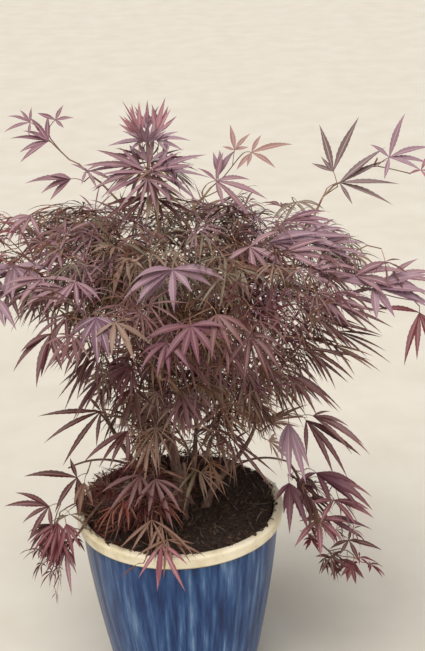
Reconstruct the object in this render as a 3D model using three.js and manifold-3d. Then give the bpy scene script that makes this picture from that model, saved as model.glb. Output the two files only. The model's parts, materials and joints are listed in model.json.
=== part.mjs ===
// A narrow-lobed Japanese maple in a glazed pot, in millimetres, +Z up.
// The origin is the centre of the pot's flat underside, and -Y is the front.
// The pot, its rim, the compost, each stem, each bough and each mass of leaves is a solid of its own.
import * as THREE from 'three';
import { mergeVertices } from 'three/addons/utils/BufferGeometryUtils.js';
import Module from 'manifold-3d';

const wasm = await Module();
wasm.setup();

// ---- Driving dimensions ----
const GAP = 0.35; // clearance kept between neighbouring pieces

const POT = {
  height: 380,
  topRadius: 188, // outside of the wall, just under the rim
  baseRadius: 134,
  bulge: 1.38, // above 1 the wall bows out and stands steeper near the top
  rows: 4,
  wall: 14,
  floor: 18,
  segments: 32,
  holes: 3,
  holeRadius: 9,
  holeCircle: 62,
};
const RIM = { outer: 200, foot: 197, inner: 183, band: 27, round: 5 };
const SOIL = { level: 367, crumb: 5, calm: 34, rings: 4 };

const LIMB = { sides: 6, steps: 6 };
const UNEVEN = 0.11; // how far the face of a leaf mass swells and sinks
const LOBES = 0.13; // how far its edge runs out into tips

// Stems rise from the compost. foot is their place on it, tip is where they fork.
const STEMS = [
  { name: 'stem_main', foot: [4, 14], tip: [-14, 34, 640], bow: [-16, 6], thick: 16, thin: 9, flare: 2.1 },
  { name: 'stem_left', foot: [-46, 30], tip: [-138, 12, 622], bow: [-22, 14], thick: 10, thin: 6, flare: 1.7 },
  { name: 'stem_right', foot: [50, 8], tip: [150, -14, 600], bow: [26, -4], thick: 10, thin: 6, flare: 1.7 },
  { name: 'stem_front', foot: [12, -36], tip: [6, -96, 566], bow: [8, -18], thick: 8, thin: 5, flare: 1.7 },
  { name: 'stem_back', foot: [24, 62], tip: [40, 128, 590], bow: [6, 22], thick: 9, thin: 6, flare: 1.7 },
];

// Boughs leave a stem at a share of its length, and end inside the mass they carry.
const BOUGHS = [
  { name: 'bough_top', stem: 'stem_main', share: 0.93, mass: 'crown_top', thick: 8, lift: 20 },
  { name: 'bough_mid_left', stem: 'stem_left', share: 0.92, mass: 'mid_left', thick: 6, lift: 10 },
  { name: 'bough_mid_right', stem: 'stem_right', share: 0.92, mass: 'mid_right', thick: 6, lift: 10 },
  { name: 'bough_mid_front', stem: 'stem_front', share: 0.9, mass: 'mid_front', thick: 5, lift: 10 },
  { name: 'bough_mid_back', stem: 'stem_back', share: 0.9, mass: 'mid_back', thick: 6, lift: 10 },
  { name: 'bough_low_left', stem: 'stem_left', share: 0.62, mass: 'low_left', thick: 5, lift: 26 },
  { name: 'bough_rim_left', stem: 'stem_left', share: 0.3, mass: 'rim_left', thick: 5, lift: 34 },
  { name: 'bough_rim_right', stem: 'stem_right', share: 0.3, mass: 'rim_right', thick: 5, lift: 40 },
  { name: 'bough_front_spray', stem: 'stem_front', share: 0.24, mass: 'spray_front', thick: 5, lift: 30 },
  { name: 'bough_back_spray', stem: 'stem_back', share: 0.26, mass: 'spray_back', thick: 5, lift: 40 },
];

// Leaders stand out of the top of the crown, from one mass to the sprig that they carry.
const LEADERS = [
  { name: 'leader_top', from: 'crown_top', mass: 'tier_top', thick: 6, lift: 0 },
  { name: 'leader_apex', from: 'tier_top', mass: 'spray_top', thick: 5, lift: 0 },
  { name: 'leader_top_left', from: 'crown_top', mass: 'sprig_top_left', thick: 5, lift: 14 },
  { name: 'leader_centre_right', from: 'crown_top', mass: 'sprig_centre_right', thick: 5, lift: 10 },
  { name: 'leader_right', from: 'crown_right', mass: 'sprig_right', thick: 5, lift: 8 },
  { name: 'leader_far_right', from: 'sprig_right', mass: 'sprig_far_right', thick: 4, lift: 0 },
];

// Masses of leaves: centre, half width, half depth and half height, colour and fineness.
const MAUVE = 0x8f6680;
const PLUM = 0x5e3542;
const BRONZE = 0x6d5540;
const PINK = 0xb26b86;
const WINE = 0x7d2c46;
const MASSES = [
  { name: 'spray_top', at: [-22, 60, 1104], half: [66, 58, 50], colour: PINK, fine: 2 },
  { name: 'tier_top', at: [-28, 42, 1014], half: [122, 102, 44], colour: MAUVE, fine: 2 },
  { name: 'sprig_top_left', at: [-216, 62, 1100], half: [72, 58, 46], colour: PINK, fine: 2 },
  { name: 'sprig_left', at: [-176, 62, 1000], half: [78, 62, 34], colour: MAUVE, fine: 2 },
  { name: 'sprig_centre_right', at: [122, 44, 1036], half: [84, 66, 52], colour: BRONZE, fine: 2 },
  { name: 'sprig_right', at: [314, 50, 1030], half: [84, 66, 66], colour: MAUVE, fine: 2 },
  { name: 'sprig_far_right', at: [428, 40, 1044], half: [74, 60, 50], colour: MAUVE, fine: 2 },

  { name: 'crown_top', at: [-10, 64, 868], half: [176, 168, 76], colour: BRONZE, fine: 3 },
  { name: 'crown_left', at: [-240, 70, 852], half: [136, 130, 78], colour: BRONZE, fine: 3 },
  { name: 'crown_right', at: [236, 40, 868], half: [140, 130, 68], colour: MAUVE, fine: 2 },
  { name: 'crown_back', at: [16, 270, 830], half: [150, 118, 76], colour: BRONZE, fine: 2 },
  { name: 'crown_back_left', at: [-206, 238, 836], half: [128, 116, 72], colour: MAUVE, fine: 2 },
  { name: 'crown_back_right', at: [228, 220, 832], half: [134, 120, 72], colour: MAUVE, fine: 2 },
  { name: 'arm_right', at: [378, -30, 806], half: [112, 112, 58], colour: MAUVE, fine: 2 },
  { name: 'arm_left', at: [-326, -40, 806], half: [104, 118, 62], colour: MAUVE, fine: 2 },
  { name: 'crown_front_left', at: [-144, -176, 800], half: [116, 118, 76], colour: MAUVE, fine: 3 },
  { name: 'crown_front', at: [4, -226, 792], half: [116, 108, 76], colour: MAUVE, fine: 2 },
  { name: 'crown_front_right', at: [168, -172, 796], half: [132, 122, 78], colour: MAUVE, fine: 3 },

  { name: 'mid_left', at: [-166, 20, 706], half: [110, 128, 88], colour: PLUM, fine: 2 },
  { name: 'mid_right', at: [214, 0, 704], half: [142, 134, 92], colour: PLUM, fine: 2 },
  { name: 'mid_back', at: [16, 178, 694], half: [164, 116, 88], colour: PLUM, fine: 2 },
  { name: 'mid_front', at: [10, -132, 676], half: [138, 92, 84], colour: PLUM, fine: 2 },
  { name: 'low_left', at: [-166, -120, 626], half: [92, 74, 72], colour: BRONZE, fine: 2 },
  { name: 'low_right', at: [238, -78, 612], half: [88, 80, 74], colour: MAUVE, fine: 2 },
  { name: 'low_front', at: [30, -146, 560], half: [104, 66, 60], colour: PLUM, fine: 2 },
  { name: 'low_back', at: [20, 168, 562], half: [128, 82, 62], colour: PLUM, fine: 2 },

  { name: 'rim_left', at: [-256, -58, 450], half: [86, 66, 48], colour: MAUVE, fine: 2 },
  { name: 'hanging_left', at: [-226, -102, 326], half: [46, 46, 96], colour: WINE, fine: 2 },
  { name: 'rim_right', at: [262, -44, 438], half: [66, 62, 74], colour: MAUVE, fine: 2 },
  { name: 'hanging_right', at: [306, -58, 310], half: [70, 60, 86], colour: WINE, fine: 2 },
  { name: 'spray_soil', at: [-84, -98, 446], half: [92, 66, 52], colour: WINE, fine: 2 },
  { name: 'spray_front', at: [-42, -230, 408], half: [64, 27, 76], colour: PINK, fine: 2 },
  { name: 'spray_back', at: [-70, 232, 452], half: [104, 56, 74], colour: PLUM, fine: 2 },
];

const COLOUR = {
  glaze: 0x2f5fa0,
  rim: 0xe6d9b8,
  soil: 0x2b211b,
  bark: 0x6b5648,
};

// ---- Solids: closed three.js geometries joined and cut ----
function toSolid(geometry) {
  const bare = geometry.clone();
  bare.deleteAttribute('normal');
  bare.deleteAttribute('uv');
  const merged = mergeVertices(bare, 1e-4);
  return new wasm.Manifold(new wasm.Mesh({
    numProp: 3,
    vertProperties: new Float32Array(merged.attributes.position.array),
    triVerts: new Uint32Array(merged.index.array),
  }));
}

function toGeometry(solid) {
  const mesh = solid.getMesh();
  const geometry = new THREE.BufferGeometry();
  geometry.setAttribute('position', new THREE.BufferAttribute(mesh.vertProperties, 3));
  geometry.setIndex(new THREE.BufferAttribute(mesh.triVerts, 1));
  geometry.computeVertexNormals();
  return geometry;
}

function material(colour, roughness) {
  return new THREE.MeshStandardMaterial({ color: colour, roughness, metalness: 0 });
}

const plant = new THREE.Group();

function addPiece(name, geometry, colour, roughness) {
  const mesh = new THREE.Mesh(geometry, material(colour, roughness));
  mesh.name = name;
  plant.add(mesh);
}

// ---- Pot: a thrown and glazed wall with drainage holes, under a cream rim ----
function potRadius(z) {
  const top = POT.height - RIM.band;
  const down = (top - z) / top;
  return POT.topRadius - (POT.topRadius - POT.baseRadius) * Math.max(down, 0) ** POT.bulge;
}

function wallPoints(inset, fromZ, toZ) {
  return Array.from({ length: POT.rows + 1 }, (_, i) => {
    const z = fromZ + (toZ - fromZ) * i / POT.rows;
    return new THREE.Vector2(potRadius(z) - inset, z);
  });
}

// Turns an outline round the pot's upright axis.
function turned(outline, segments) {
  const lathe = new THREE.LatheGeometry(outline, segments);
  lathe.rotateX(Math.PI / 2);
  return lathe;
}

function potBody() {
  const top = POT.height - RIM.band - GAP;
  const outline = [
    new THREE.Vector2(0, POT.floor),
    ...wallPoints(POT.wall, POT.floor, top),
    ...wallPoints(0, 0, top).reverse(),
    new THREE.Vector2(0, 0),
  ];
  let body = toSolid(turned(outline.reverse(), POT.segments));
  for (let i = 0; i < POT.holes; i += 1) {
    const angle = 2 * Math.PI * i / POT.holes + Math.PI / 2;
    const drill = new THREE.CylinderGeometry(POT.holeRadius, POT.holeRadius, 3 * POT.floor, 10);
    drill.rotateX(Math.PI / 2);
    drill.translate(POT.holeCircle * Math.cos(angle), POT.holeCircle * Math.sin(angle), 0);
    body = body.subtract(toSolid(drill));
  }
  return toGeometry(body);
}

function potRim() {
  const low = POT.height - RIM.band;
  const high = POT.height;
  const r = RIM.round;
  const outline = [
    new THREE.Vector2(RIM.inner - 3, low),
    new THREE.Vector2(RIM.foot, low),
    new THREE.Vector2(RIM.outer, high - r),
    new THREE.Vector2(RIM.outer - r / 2, high - r / 6),
    new THREE.Vector2(RIM.inner + r, high),
    new THREE.Vector2(RIM.inner, high - r / 2),
    new THREE.Vector2(RIM.inner - 3, low),
  ];
  return toGeometry(toSolid(turned(outline, POT.segments)));
}

// The pot's outside, swollen by the clearance, which cuts the leaves that hang against it.
function potOutside() {
  const reach = RIM.outer + GAP;
  const outline = [
    new THREE.Vector2(0, POT.height + GAP),
    new THREE.Vector2(reach, POT.height + GAP),
    new THREE.Vector2(reach, POT.height - RIM.band - GAP),
    ...wallPoints(-GAP, 0, POT.height - RIM.band - GAP).reverse(),
    new THREE.Vector2(0, 0),
  ];
  return toSolid(turned(outline.reverse(), POT.segments));
}

// ---- Compost: fills the pot, crumbly on top and level where a stem stands ----
function ripple(x, y, seed) {
  return (Math.sin(x * 0.061 + y * 0.043 + seed) + Math.sin(y * 0.087 - x * 0.029 + 2.1 * seed)
    + Math.sin(x * 0.131 + 0.7 * seed) * Math.sin(y * 0.117 - seed)) / 3;
}

function soilHeight(x, y) {
  const nearest = Math.min(...STEMS.map((s) => Math.hypot(x - s.foot[0], y - s.foot[1])));
  const loose = THREE.MathUtils.smoothstep(nearest, SOIL.calm, 2.2 * SOIL.calm);
  return SOIL.level + SOIL.crumb * loose * ripple(x, y, 1.7);
}

function soil() {
  const low = POT.floor + GAP;
  const edge = RIM.inner - 3 - GAP;
  const shoulder = POT.height - RIM.band - 2 * GAP;
  const outline = [
    new THREE.Vector2(0, low),
    ...wallPoints(POT.wall + GAP, low, shoulder),
    ...Array.from({ length: SOIL.rings + 1 },
      (_, i) => new THREE.Vector2((edge - 1) * (1 - i / SOIL.rings), SOIL.level)),
  ];
  const geometry = turned(outline, POT.segments);
  const at = geometry.attributes.position;
  for (let i = 0; i < at.count; i += 1) {
    if (Math.abs(at.getZ(i) - SOIL.level) < 1) {
      at.setZ(i, soilHeight(at.getX(i), at.getY(i)));
    }
  }
  return toGeometry(toSolid(geometry));
}

// ---- Masses of leaves: uneven rounds, each kept inside its own cell of the crown ----
const vector = (p) => new THREE.Vector3(...p);

function bumps(direction, seed) {
  const { x, y, z } = direction;
  return (Math.sin(3.1 * x + 2.3 * y + seed) + Math.sin(4.3 * y - 2.9 * z + 1.9 * seed)
    + Math.sin(5.3 * z + 3.7 * x - 0.6 * seed) + Math.sin(6.1 * x * y + 4.1 * z + 2.7 * seed)) / 4;
}

function lobes(direction, seed) {
  const turn = Math.atan2(direction.y, direction.x);
  const count = 5 + (seed % 3);
  return Math.cos(count * turn + seed) * (1 - direction.z * direction.z);
}

function ellipsoidReach(direction, half) {
  return 1 / Math.hypot(direction.x / half[0], direction.y / half[1], direction.z / half[2]);
}

const meanHalf = (mass) => (mass.half[0] + mass.half[1] + mass.half[2]) / 3;

// How far a mass reaches in one direction before it would enter a neighbour's cell.
function cellReach(mass, direction) {
  let reach = Infinity;
  for (const other of MASSES) {
    if (other === mass) continue;
    const across = vector(other.at).sub(vector(mass.at));
    const towards = direction.dot(across);
    if (towards <= 0) continue;
    const middle = (across.lengthSq() + meanHalf(mass) ** 2 - meanHalf(other) ** 2) / 2;
    reach = Math.min(reach, (middle - 2 * GAP * across.length()) / towards);
  }
  return reach;
}

// grow swells the solid a little, to cut what enters it with a clearance.
function massGeometry(mass, grow) {
  const seed = MASSES.indexOf(mass) + 1;
  const geometry = mergeVertices(new THREE.IcosahedronGeometry(1, mass.fine).deleteAttribute('normal')
    .deleteAttribute('uv'), 1e-4);
  const at = geometry.attributes.position;
  for (let i = 0; i < at.count; i += 1) {
    const direction = new THREE.Vector3().fromBufferAttribute(at, i).normalize();
    const uneven = 1 + UNEVEN * bumps(direction, seed) + LOBES * lobes(direction, seed);
    const free = ellipsoidReach(direction, mass.half) * uneven;
    const point = direction.multiplyScalar(Math.min(free, cellReach(mass, direction)) + grow);
    point.add(vector(mass.at));
    at.setXYZ(i, point.x, point.y, point.z);
  }
  return geometry;
}

// ---- Limbs: a cylinder bent along a curve, thick at its foot and thin at its tip ----
function limbSolid(curve, thick, thin, flare, grow) {
  const length = curve.getLength();
  const geometry = new THREE.CylinderGeometry(1, 1, 1, LIMB.sides, LIMB.steps);
  const at = geometry.attributes.position;
  for (let i = 0; i < at.count; i += 1) {
    const share = at.getY(i) + 0.5;
    const centre = curve.getPointAt(share);
    const along = curve.getTangentAt(share);
    const level = flare > 1 ? Math.max(0, 1 - share * 5) : 0;
    along.lerp(new THREE.Vector3(0, 0, 1), level).normalize();
    const side = new THREE.Vector3(0, 1, 0.2).cross(along).normalize();
    const other = along.clone().cross(side);
    const spread = 1 + (flare - 1) * Math.exp(-share * length / thick);
    const radius = (thick + (thin - thick) * share) / 2 * spread + grow;
    centre.addScaledVector(side, at.getZ(i) * radius);
    centre.addScaledVector(other, at.getX(i) * radius);
    at.setXYZ(i, centre.x, centre.y, centre.z);
  }
  return toSolid(geometry);
}

function stemCurve({ foot, tip, bow }) {
  const start = new THREE.Vector3(foot[0], foot[1], SOIL.level + GAP);
  const end = vector(tip);
  const low = start.clone().lerp(end, 0.35);
  low.x += bow[0] * 0.2;
  low.y += bow[1] * 0.2;
  const high = start.clone().lerp(end, 0.7);
  high.x += bow[0];
  high.y += bow[1];
  return new THREE.CatmullRomCurve3([start, low, high, end]);
}

// An arch from one point to another, raised by lift at its middle.
function archCurve(start, end, lift) {
  const first = start.clone().lerp(end, 0.33);
  const second = start.clone().lerp(end, 0.7);
  first.z += lift;
  second.z += lift;
  return new THREE.CatmullRomCurve3([start, first, second, end]);
}

// The piece of a cut limb that lies nearest to a point, or its largest piece.
function keepPiece(solid, near) {
  const pieces = solid.decompose();
  const rank = pieces.map((piece) => {
    if (!near) return -piece.volume();
    const { min, max } = piece.boundingBox();
    return new THREE.Box3(vector(min), vector(max)).distanceToPoint(near);
  });
  return pieces[rank.indexOf(Math.min(...rank))];
}

// ---- Assembly ----
addPiece('pot_body', potBody(), COLOUR.glaze, 0.25);
addPiece('pot_rim', potRim(), COLOUR.rim, 0.5);
addPiece('soil', soil(), COLOUR.soil, 0.95);

const massAt = Object.fromEntries(MASSES.map((mass) => [mass.name, mass]));
const cutters = MASSES.map((mass) => toSolid(massGeometry(mass, GAP)));
const curves = {};

function addLimb(name, curve, thick, thin, flare, near) {
  let solid = limbSolid(curve, thick, thin, flare, 0);
  for (const cutter of cutters) solid = solid.subtract(cutter);
  addPiece(name, toGeometry(keepPiece(solid, near)), COLOUR.bark, 0.8);
  cutters.push(limbSolid(curve, thick, thin, flare, GAP));
  curves[name] = curve;
}

for (const stem of STEMS) {
  const curve = stemCurve(stem);
  addLimb(stem.name, curve, stem.thick, stem.thin, stem.flare, curve.getPointAt(0));
}

for (const bough of BOUGHS) {
  const start = curves[bough.stem].getPointAt(bough.share);
  const curve = archCurve(start, vector(massAt[bough.mass].at), bough.lift);
  addLimb(bough.name, curve, bough.thick, bough.thick * 0.5, 1, start);
}

for (const leader of LEADERS) {
  const start = vector(massAt[leader.from].at);
  const curve = archCurve(start, vector(massAt[leader.mass].at), leader.lift);
  addLimb(leader.name, curve, leader.thick, leader.thick * 0.6, 1, null);
}

const pot = potOutside();
for (const mass of MASSES) {
  const solid = toSolid(massGeometry(mass, 0)).subtract(pot);
  addPiece(mass.name, toGeometry(keepPiece(solid, null)), mass.colour, 0.85);
}

export default plant;
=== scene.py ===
import json
import math
from collections import namedtuple

import bmesh
import bpy
import numpy as np
from mathutils import Matrix, Vector, noise
from mathutils.bvhtree import BVHTree


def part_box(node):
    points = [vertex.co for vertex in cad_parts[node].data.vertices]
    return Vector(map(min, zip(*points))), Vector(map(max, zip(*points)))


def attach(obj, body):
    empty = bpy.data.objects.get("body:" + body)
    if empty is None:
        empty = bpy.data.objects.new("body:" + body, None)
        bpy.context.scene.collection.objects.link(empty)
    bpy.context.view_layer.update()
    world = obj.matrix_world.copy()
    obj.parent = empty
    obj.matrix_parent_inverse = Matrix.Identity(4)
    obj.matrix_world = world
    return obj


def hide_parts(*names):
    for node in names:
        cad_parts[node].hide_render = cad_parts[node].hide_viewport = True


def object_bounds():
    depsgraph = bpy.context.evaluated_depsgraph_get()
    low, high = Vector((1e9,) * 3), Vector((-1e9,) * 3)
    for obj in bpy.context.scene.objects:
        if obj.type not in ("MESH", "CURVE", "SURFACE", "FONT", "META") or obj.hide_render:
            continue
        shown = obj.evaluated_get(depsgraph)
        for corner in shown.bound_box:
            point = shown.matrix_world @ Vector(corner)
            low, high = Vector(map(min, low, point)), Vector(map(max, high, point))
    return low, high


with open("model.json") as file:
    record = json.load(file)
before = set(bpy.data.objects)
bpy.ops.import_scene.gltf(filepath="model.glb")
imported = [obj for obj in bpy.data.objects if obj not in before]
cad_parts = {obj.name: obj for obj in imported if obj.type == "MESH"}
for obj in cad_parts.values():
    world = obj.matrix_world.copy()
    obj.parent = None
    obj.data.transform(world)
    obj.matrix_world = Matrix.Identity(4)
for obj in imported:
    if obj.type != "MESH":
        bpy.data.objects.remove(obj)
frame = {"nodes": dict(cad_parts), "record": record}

cad_low, cad_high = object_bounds()


# ---- Pot wall ----
# A tapered stoneware pot with shallow upright ribs, dipped in a blue glaze that ran down in
# lighter and darker streaks as it was fired. Its floor is bare clay with three drainage holes.
pot_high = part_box("pot_body")[1]
POT_RADIUS = pot_high.x
POT_FOOT = 0.134
POT_BOW = 1.38
POT_WALL = 0.014
POT_FLOOR = 0.018
FOOT_RING = 0.016
FOOT_HOLLOW = 0.003
POT_SIDES = 240
RIB_DEPTH = 0.0011
RIB_FADE = 0.03         # how far from the wall's edges the ribs die out
DRAINS = 3
DRAIN_RADIUS = 0.009
DRAIN_CIRCLE = 0.062
DRAIN_SIDES = 24
DRILL_ENDS = (-0.01, 0.04)


def srgb(red, green, blue):
    """A colour in screen values from 0 to 255, as the linear values that a shader takes."""
    linear = [((c / 255 + 0.055) / 1.055) ** 2.4 if c > 10 else c / 3294 for c in (red, green, blue)]
    return (*linear, 1)


def new_material(name, roughness=0.5, **fixed):
    """A material with one Principled shader. fixed sets that shader's own sockets."""
    made = bpy.data.materials.new(name)
    made.use_nodes = True
    shader = made.node_tree.nodes["Principled BSDF"]
    shader.inputs["Roughness"].default_value = roughness
    for socket, value in fixed.items():
        shader.inputs[socket.replace("_", " ")].default_value = value
    return made, made.node_tree, shader


def stretched(tree, x, y, z):
    """The object's own coordinates, scaled by x, y and z."""
    where = tree.nodes.new("ShaderNodeTexCoord")
    scale = tree.nodes.new("ShaderNodeMapping")
    scale.inputs["Scale"].default_value = (x, y, z)
    tree.links.new(where.outputs["Object"], scale.inputs["Vector"])
    return scale.outputs["Vector"]


def cloud(tree, vector, scale, detail=4, rough=0.55):
    """A noise pattern's value."""
    made = tree.nodes.new("ShaderNodeTexNoise")
    made.inputs["Scale"].default_value = scale
    made.inputs["Detail"].default_value = detail
    made.inputs["Roughness"].default_value = rough
    tree.links.new(vector, made.inputs["Vector"])
    return made.outputs["Fac"]


def cells(tree, vector, scale):
    """The distance to the nearest of many scattered points."""
    made = tree.nodes.new("ShaderNodeTexVoronoi")
    made.inputs["Scale"].default_value = scale
    tree.links.new(vector, made.inputs["Vector"])
    return made.outputs["Distance"]


def ramp(tree, value, stops):
    """A colour ramp over value. stops are (place, colour)."""
    made = tree.nodes.new("ShaderNodeValToRGB")
    band = made.color_ramp
    band.elements[0].position, band.elements[0].color = stops[0]
    band.elements[1].position, band.elements[1].color = stops[-1]
    for place, colour in stops[1:-1]:
        band.elements.new(place).color = colour
    tree.links.new(value, made.inputs["Fac"])
    return made.outputs["Color"]


def feed(tree, socket, value):
    """Links a socket to another one, or sets it to a number or a colour."""
    if isinstance(value, bpy.types.NodeSocket):
        tree.links.new(value, socket)
    else:
        socket.default_value = value


def worked_out(tree, how, *values):
    """The result of an arithmetic step on sockets and numbers."""
    made = tree.nodes.new("ShaderNodeMath")
    made.operation = how
    for socket, value in zip(made.inputs, values):
        feed(tree, socket, value)
    return made.outputs[0]


def height_of(tree):
    """How high a point of the surface is."""
    made = tree.nodes.new("ShaderNodeSeparateXYZ")
    tree.links.new(stretched(tree, 1, 1, 1), made.inputs[0])
    return made.outputs["Z"]


def between(tree, value, low, high, to_low=0.0, to_high=1.0):
    """value, taken from the range low to high into another range."""
    made = tree.nodes.new("ShaderNodeMapRange")
    for socket, number in zip(("From Min", "From Max", "To Min", "To Max"), (low, high, to_low, to_high)):
        made.inputs[socket].default_value = number
    tree.links.new(value, made.inputs["Value"])
    return made.outputs["Result"]


def blended(tree, share, first, second):
    """The colour second laid over first by share."""
    made = tree.nodes.new("ShaderNodeMix")
    made.data_type = "RGBA"
    for number, value in ((0, share), (6, first), (7, second)):
        feed(tree, made.inputs[number], value)
    return made.outputs[2]


def raised(tree, shader, height, strength, distance):
    """Bumps on the shader's surface, from a height."""
    made = tree.nodes.new("ShaderNodeBump")
    made.inputs["Strength"].default_value = strength
    made.inputs["Distance"].default_value = distance
    tree.links.new(height, made.inputs["Height"])
    tree.links.new(made.outputs["Normal"], shader.inputs["Normal"])


def mottled(name, roughness, pattern, stops, stretch=(1, 1, 1), bumps=None, **fixed):
    """A material whose colour follows one noise pattern. pattern is as in cloud, and bumps as in raised."""
    made, tree, shader = new_material(name, roughness, **fixed)
    grain = cloud(tree, stretched(tree, *stretch), *pattern)
    tree.links.new(ramp(tree, grain, stops), shader.inputs["Base Color"])
    if bumps:
        raised(tree, shader, grain, *bumps)
    return made


def mesh_piece(name, points, faces, materials, which=None, smooth=True):
    """A mesh object that rides on the plant. faces is a list of arrays with equal corners in each."""
    faces = [np.asarray(group, np.int32) for group in faces if len(group)]
    corners = np.concatenate([group.ravel() for group in faces])
    sizes = np.concatenate([np.full(len(group), group.shape[1], np.int32) for group in faces])
    mesh = bpy.data.meshes.new(name)
    mesh.vertices.add(len(points))
    mesh.vertices.foreach_set("co", np.asarray(points, np.float32).ravel())
    mesh.loops.add(len(corners))
    mesh.loops.foreach_set("vertex_index", corners)
    mesh.polygons.add(len(sizes))
    mesh.polygons.foreach_set("loop_start", (np.cumsum(sizes) - sizes).astype(np.int32))
    mesh.polygons.foreach_set("use_smooth", np.full(len(sizes), smooth))
    for material in materials:
        mesh.materials.append(material)
    if which is not None:
        mesh.polygons.foreach_set("material_index", np.asarray(which, np.int32))
    mesh.update(calc_edges=True)
    mesh.validate()
    made = bpy.data.objects.new(name, mesh)
    bpy.context.scene.collection.objects.link(made)
    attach(made, "root")
    return made


def turned(outline, segments):
    """Points and faces of a closed outline of (radius, height) turned round the upright axis."""
    outline = np.asarray(outline, float)
    turn = np.arange(segments) * 2 * math.pi / segments
    radius, height = outline[:, 0, None], outline[:, 1, None]
    points = np.stack([radius * np.cos(turn), radius * np.sin(turn), height + 0 * turn], axis=-1)
    row, column = np.meshgrid(np.arange(len(outline)), np.arange(segments), indexing="ij")
    after, beside = (row + 1) % len(outline), (column + 1) % segments
    corners = [(row, column), (row, beside), (after, beside), (after, column)]
    quads = np.stack([(r * segments + c).ravel() for r, c in corners], axis=-1)
    return points, quads


def pot_radius(height):
    down = np.clip((pot_high.z - height) / pot_high.z, 0, 1)
    return POT_RADIUS - (POT_RADIUS - POT_FOOT) * down ** POT_BOW


def ribs(turn, height):
    """Shallow, uneven upright ribs, from -1 to 1."""
    lean = turn + 0.05 * np.sin(9 * height + 3 * turn)
    return (np.cos(31 * lean) + 0.8 * np.cos(47 * lean + 2) + 0.6 * np.cos(19 * lean + 1)) / 2.4


def pot_wall():
    heights = np.linspace(0.004, pot_high.z - 0.002, 64)
    outer = [(pot_radius(z), z) for z in heights]
    lip = [(POT_RADIUS - 0.001, pot_high.z), (POT_RADIUS - POT_WALL, pot_high.z)]
    inner = [(pot_radius(z) - POT_WALL, z) for z in np.linspace(pot_high.z - 0.01, POT_FLOOR, 12)]
    floor = [(DRAIN_CIRCLE, POT_FLOOR), (0.0004, POT_FLOOR)]
    under = [(0.0004, FOOT_HOLLOW), (DRAIN_CIRCLE, FOOT_HOLLOW), (POT_FOOT - FOOT_RING, FOOT_HOLLOW)]
    foot = [(POT_FOOT - FOOT_RING + 0.002, 0.0), (POT_FOOT - 0.003, 0.0), (POT_FOOT - 0.0008, 0.0015)]
    points, quads = turned(outer + lip + inner + floor + under + foot, POT_SIDES)
    turn = np.arctan2(points[..., 1], points[..., 0])
    out = ribs(turn, points[..., 2])
    share = np.zeros(len(points))
    share[:len(outer)] = np.minimum(1, np.minimum(heights, pot_high.z - heights) / RIB_FADE)
    swell = 1 + RIB_DEPTH * share[:, None] * out / POT_RADIUS
    points[..., :2] *= swell[..., None]
    bare = np.zeros((len(points), POT_SIDES), int)
    bare[len(outer) + len(lip):] = 1
    made = mesh_piece("pot_wall", points.reshape(-1, 3), [quads], [blue_glaze(), bare_clay()], bare.ravel())
    ridge = made.data.attributes.new("ridge", "FLOAT", "POINT")
    ridge.data.foreach_set("value", (out * share[:, None]).astype(np.float32).ravel())
    return made


def round_wall(tree, down):
    """Coordinates that run round the wall at its full width, with the height scaled by down."""
    flat, wide = tree.nodes.new("ShaderNodeVectorMath"), tree.nodes.new("ShaderNodeVectorMath")
    flat.operation, wide.operation = "NORMALIZE", "MULTIPLY_ADD"
    tree.links.new(stretched(tree, 1, 1, 0), flat.inputs[0])
    tree.links.new(flat.outputs[0], wide.inputs[0])
    wide.inputs[1].default_value = (POT_RADIUS, POT_RADIUS, POT_RADIUS)
    tree.links.new(stretched(tree, 0, 0, down), wide.inputs[2])
    return wide.outputs[0]


def blue_glaze():
    made, tree, shader = new_material("blue_glaze", 0.3, Specular_IOR_Level=0.25)
    runs = cloud(tree, round_wall(tree, 0.09), 75, 5, 0.6)
    broad = cloud(tree, round_wall(tree, 0.45), 13, 5, 0.6)
    ridge = tree.nodes.new("ShaderNodeAttribute")
    ridge.attribute_name = "ridge"
    crest = between(tree, ridge.outputs["Fac"], -1, 1, -0.04, 0.04)
    level = worked_out(tree, "MULTIPLY_ADD", broad, 0.5, between(tree, runs, 0.25, 0.75, -0.22, 0.72))
    colour = ramp(tree, worked_out(tree, "ADD", level, crest), [
        (0.1, srgb(20, 38, 76)), (0.34, srgb(30, 54, 98)), (0.52, srgb(42, 72, 118)),
        (0.7, srgb(68, 98, 140)), (0.92, srgb(116, 140, 170))])
    # A dark band at the wall's top, just under the rim: painted shade from the rim's overhang, along with
    # some dark glaze there.
    edge = between(tree, height_of(tree), pot_high.z - 0.006, pot_high.z - 0.0015)
    specks = between(tree, cells(tree, stretched(tree, 1, 1, 0.6), 120), 0.03, 0.08, 0.6, 0.0)
    colour = blended(tree, specks, colour, srgb(24, 42, 80))
    tree.links.new(blended(tree, edge, colour, srgb(52, 50, 44)), shader.inputs["Base Color"])
    tree.links.new(between(tree, runs, 0.3, 0.8, 0.24, 0.42), shader.inputs["Roughness"])
    raised(tree, shader, runs, 0.25, 0.0012)
    return made


def bare_clay():
    stops = [(0.3, srgb(128, 92, 66)), (0.7, srgb(168, 130, 98))]
    return mottled("bare_clay", 0.9, (160, 6), stops, bumps=(0.3, 0.001))


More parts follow.
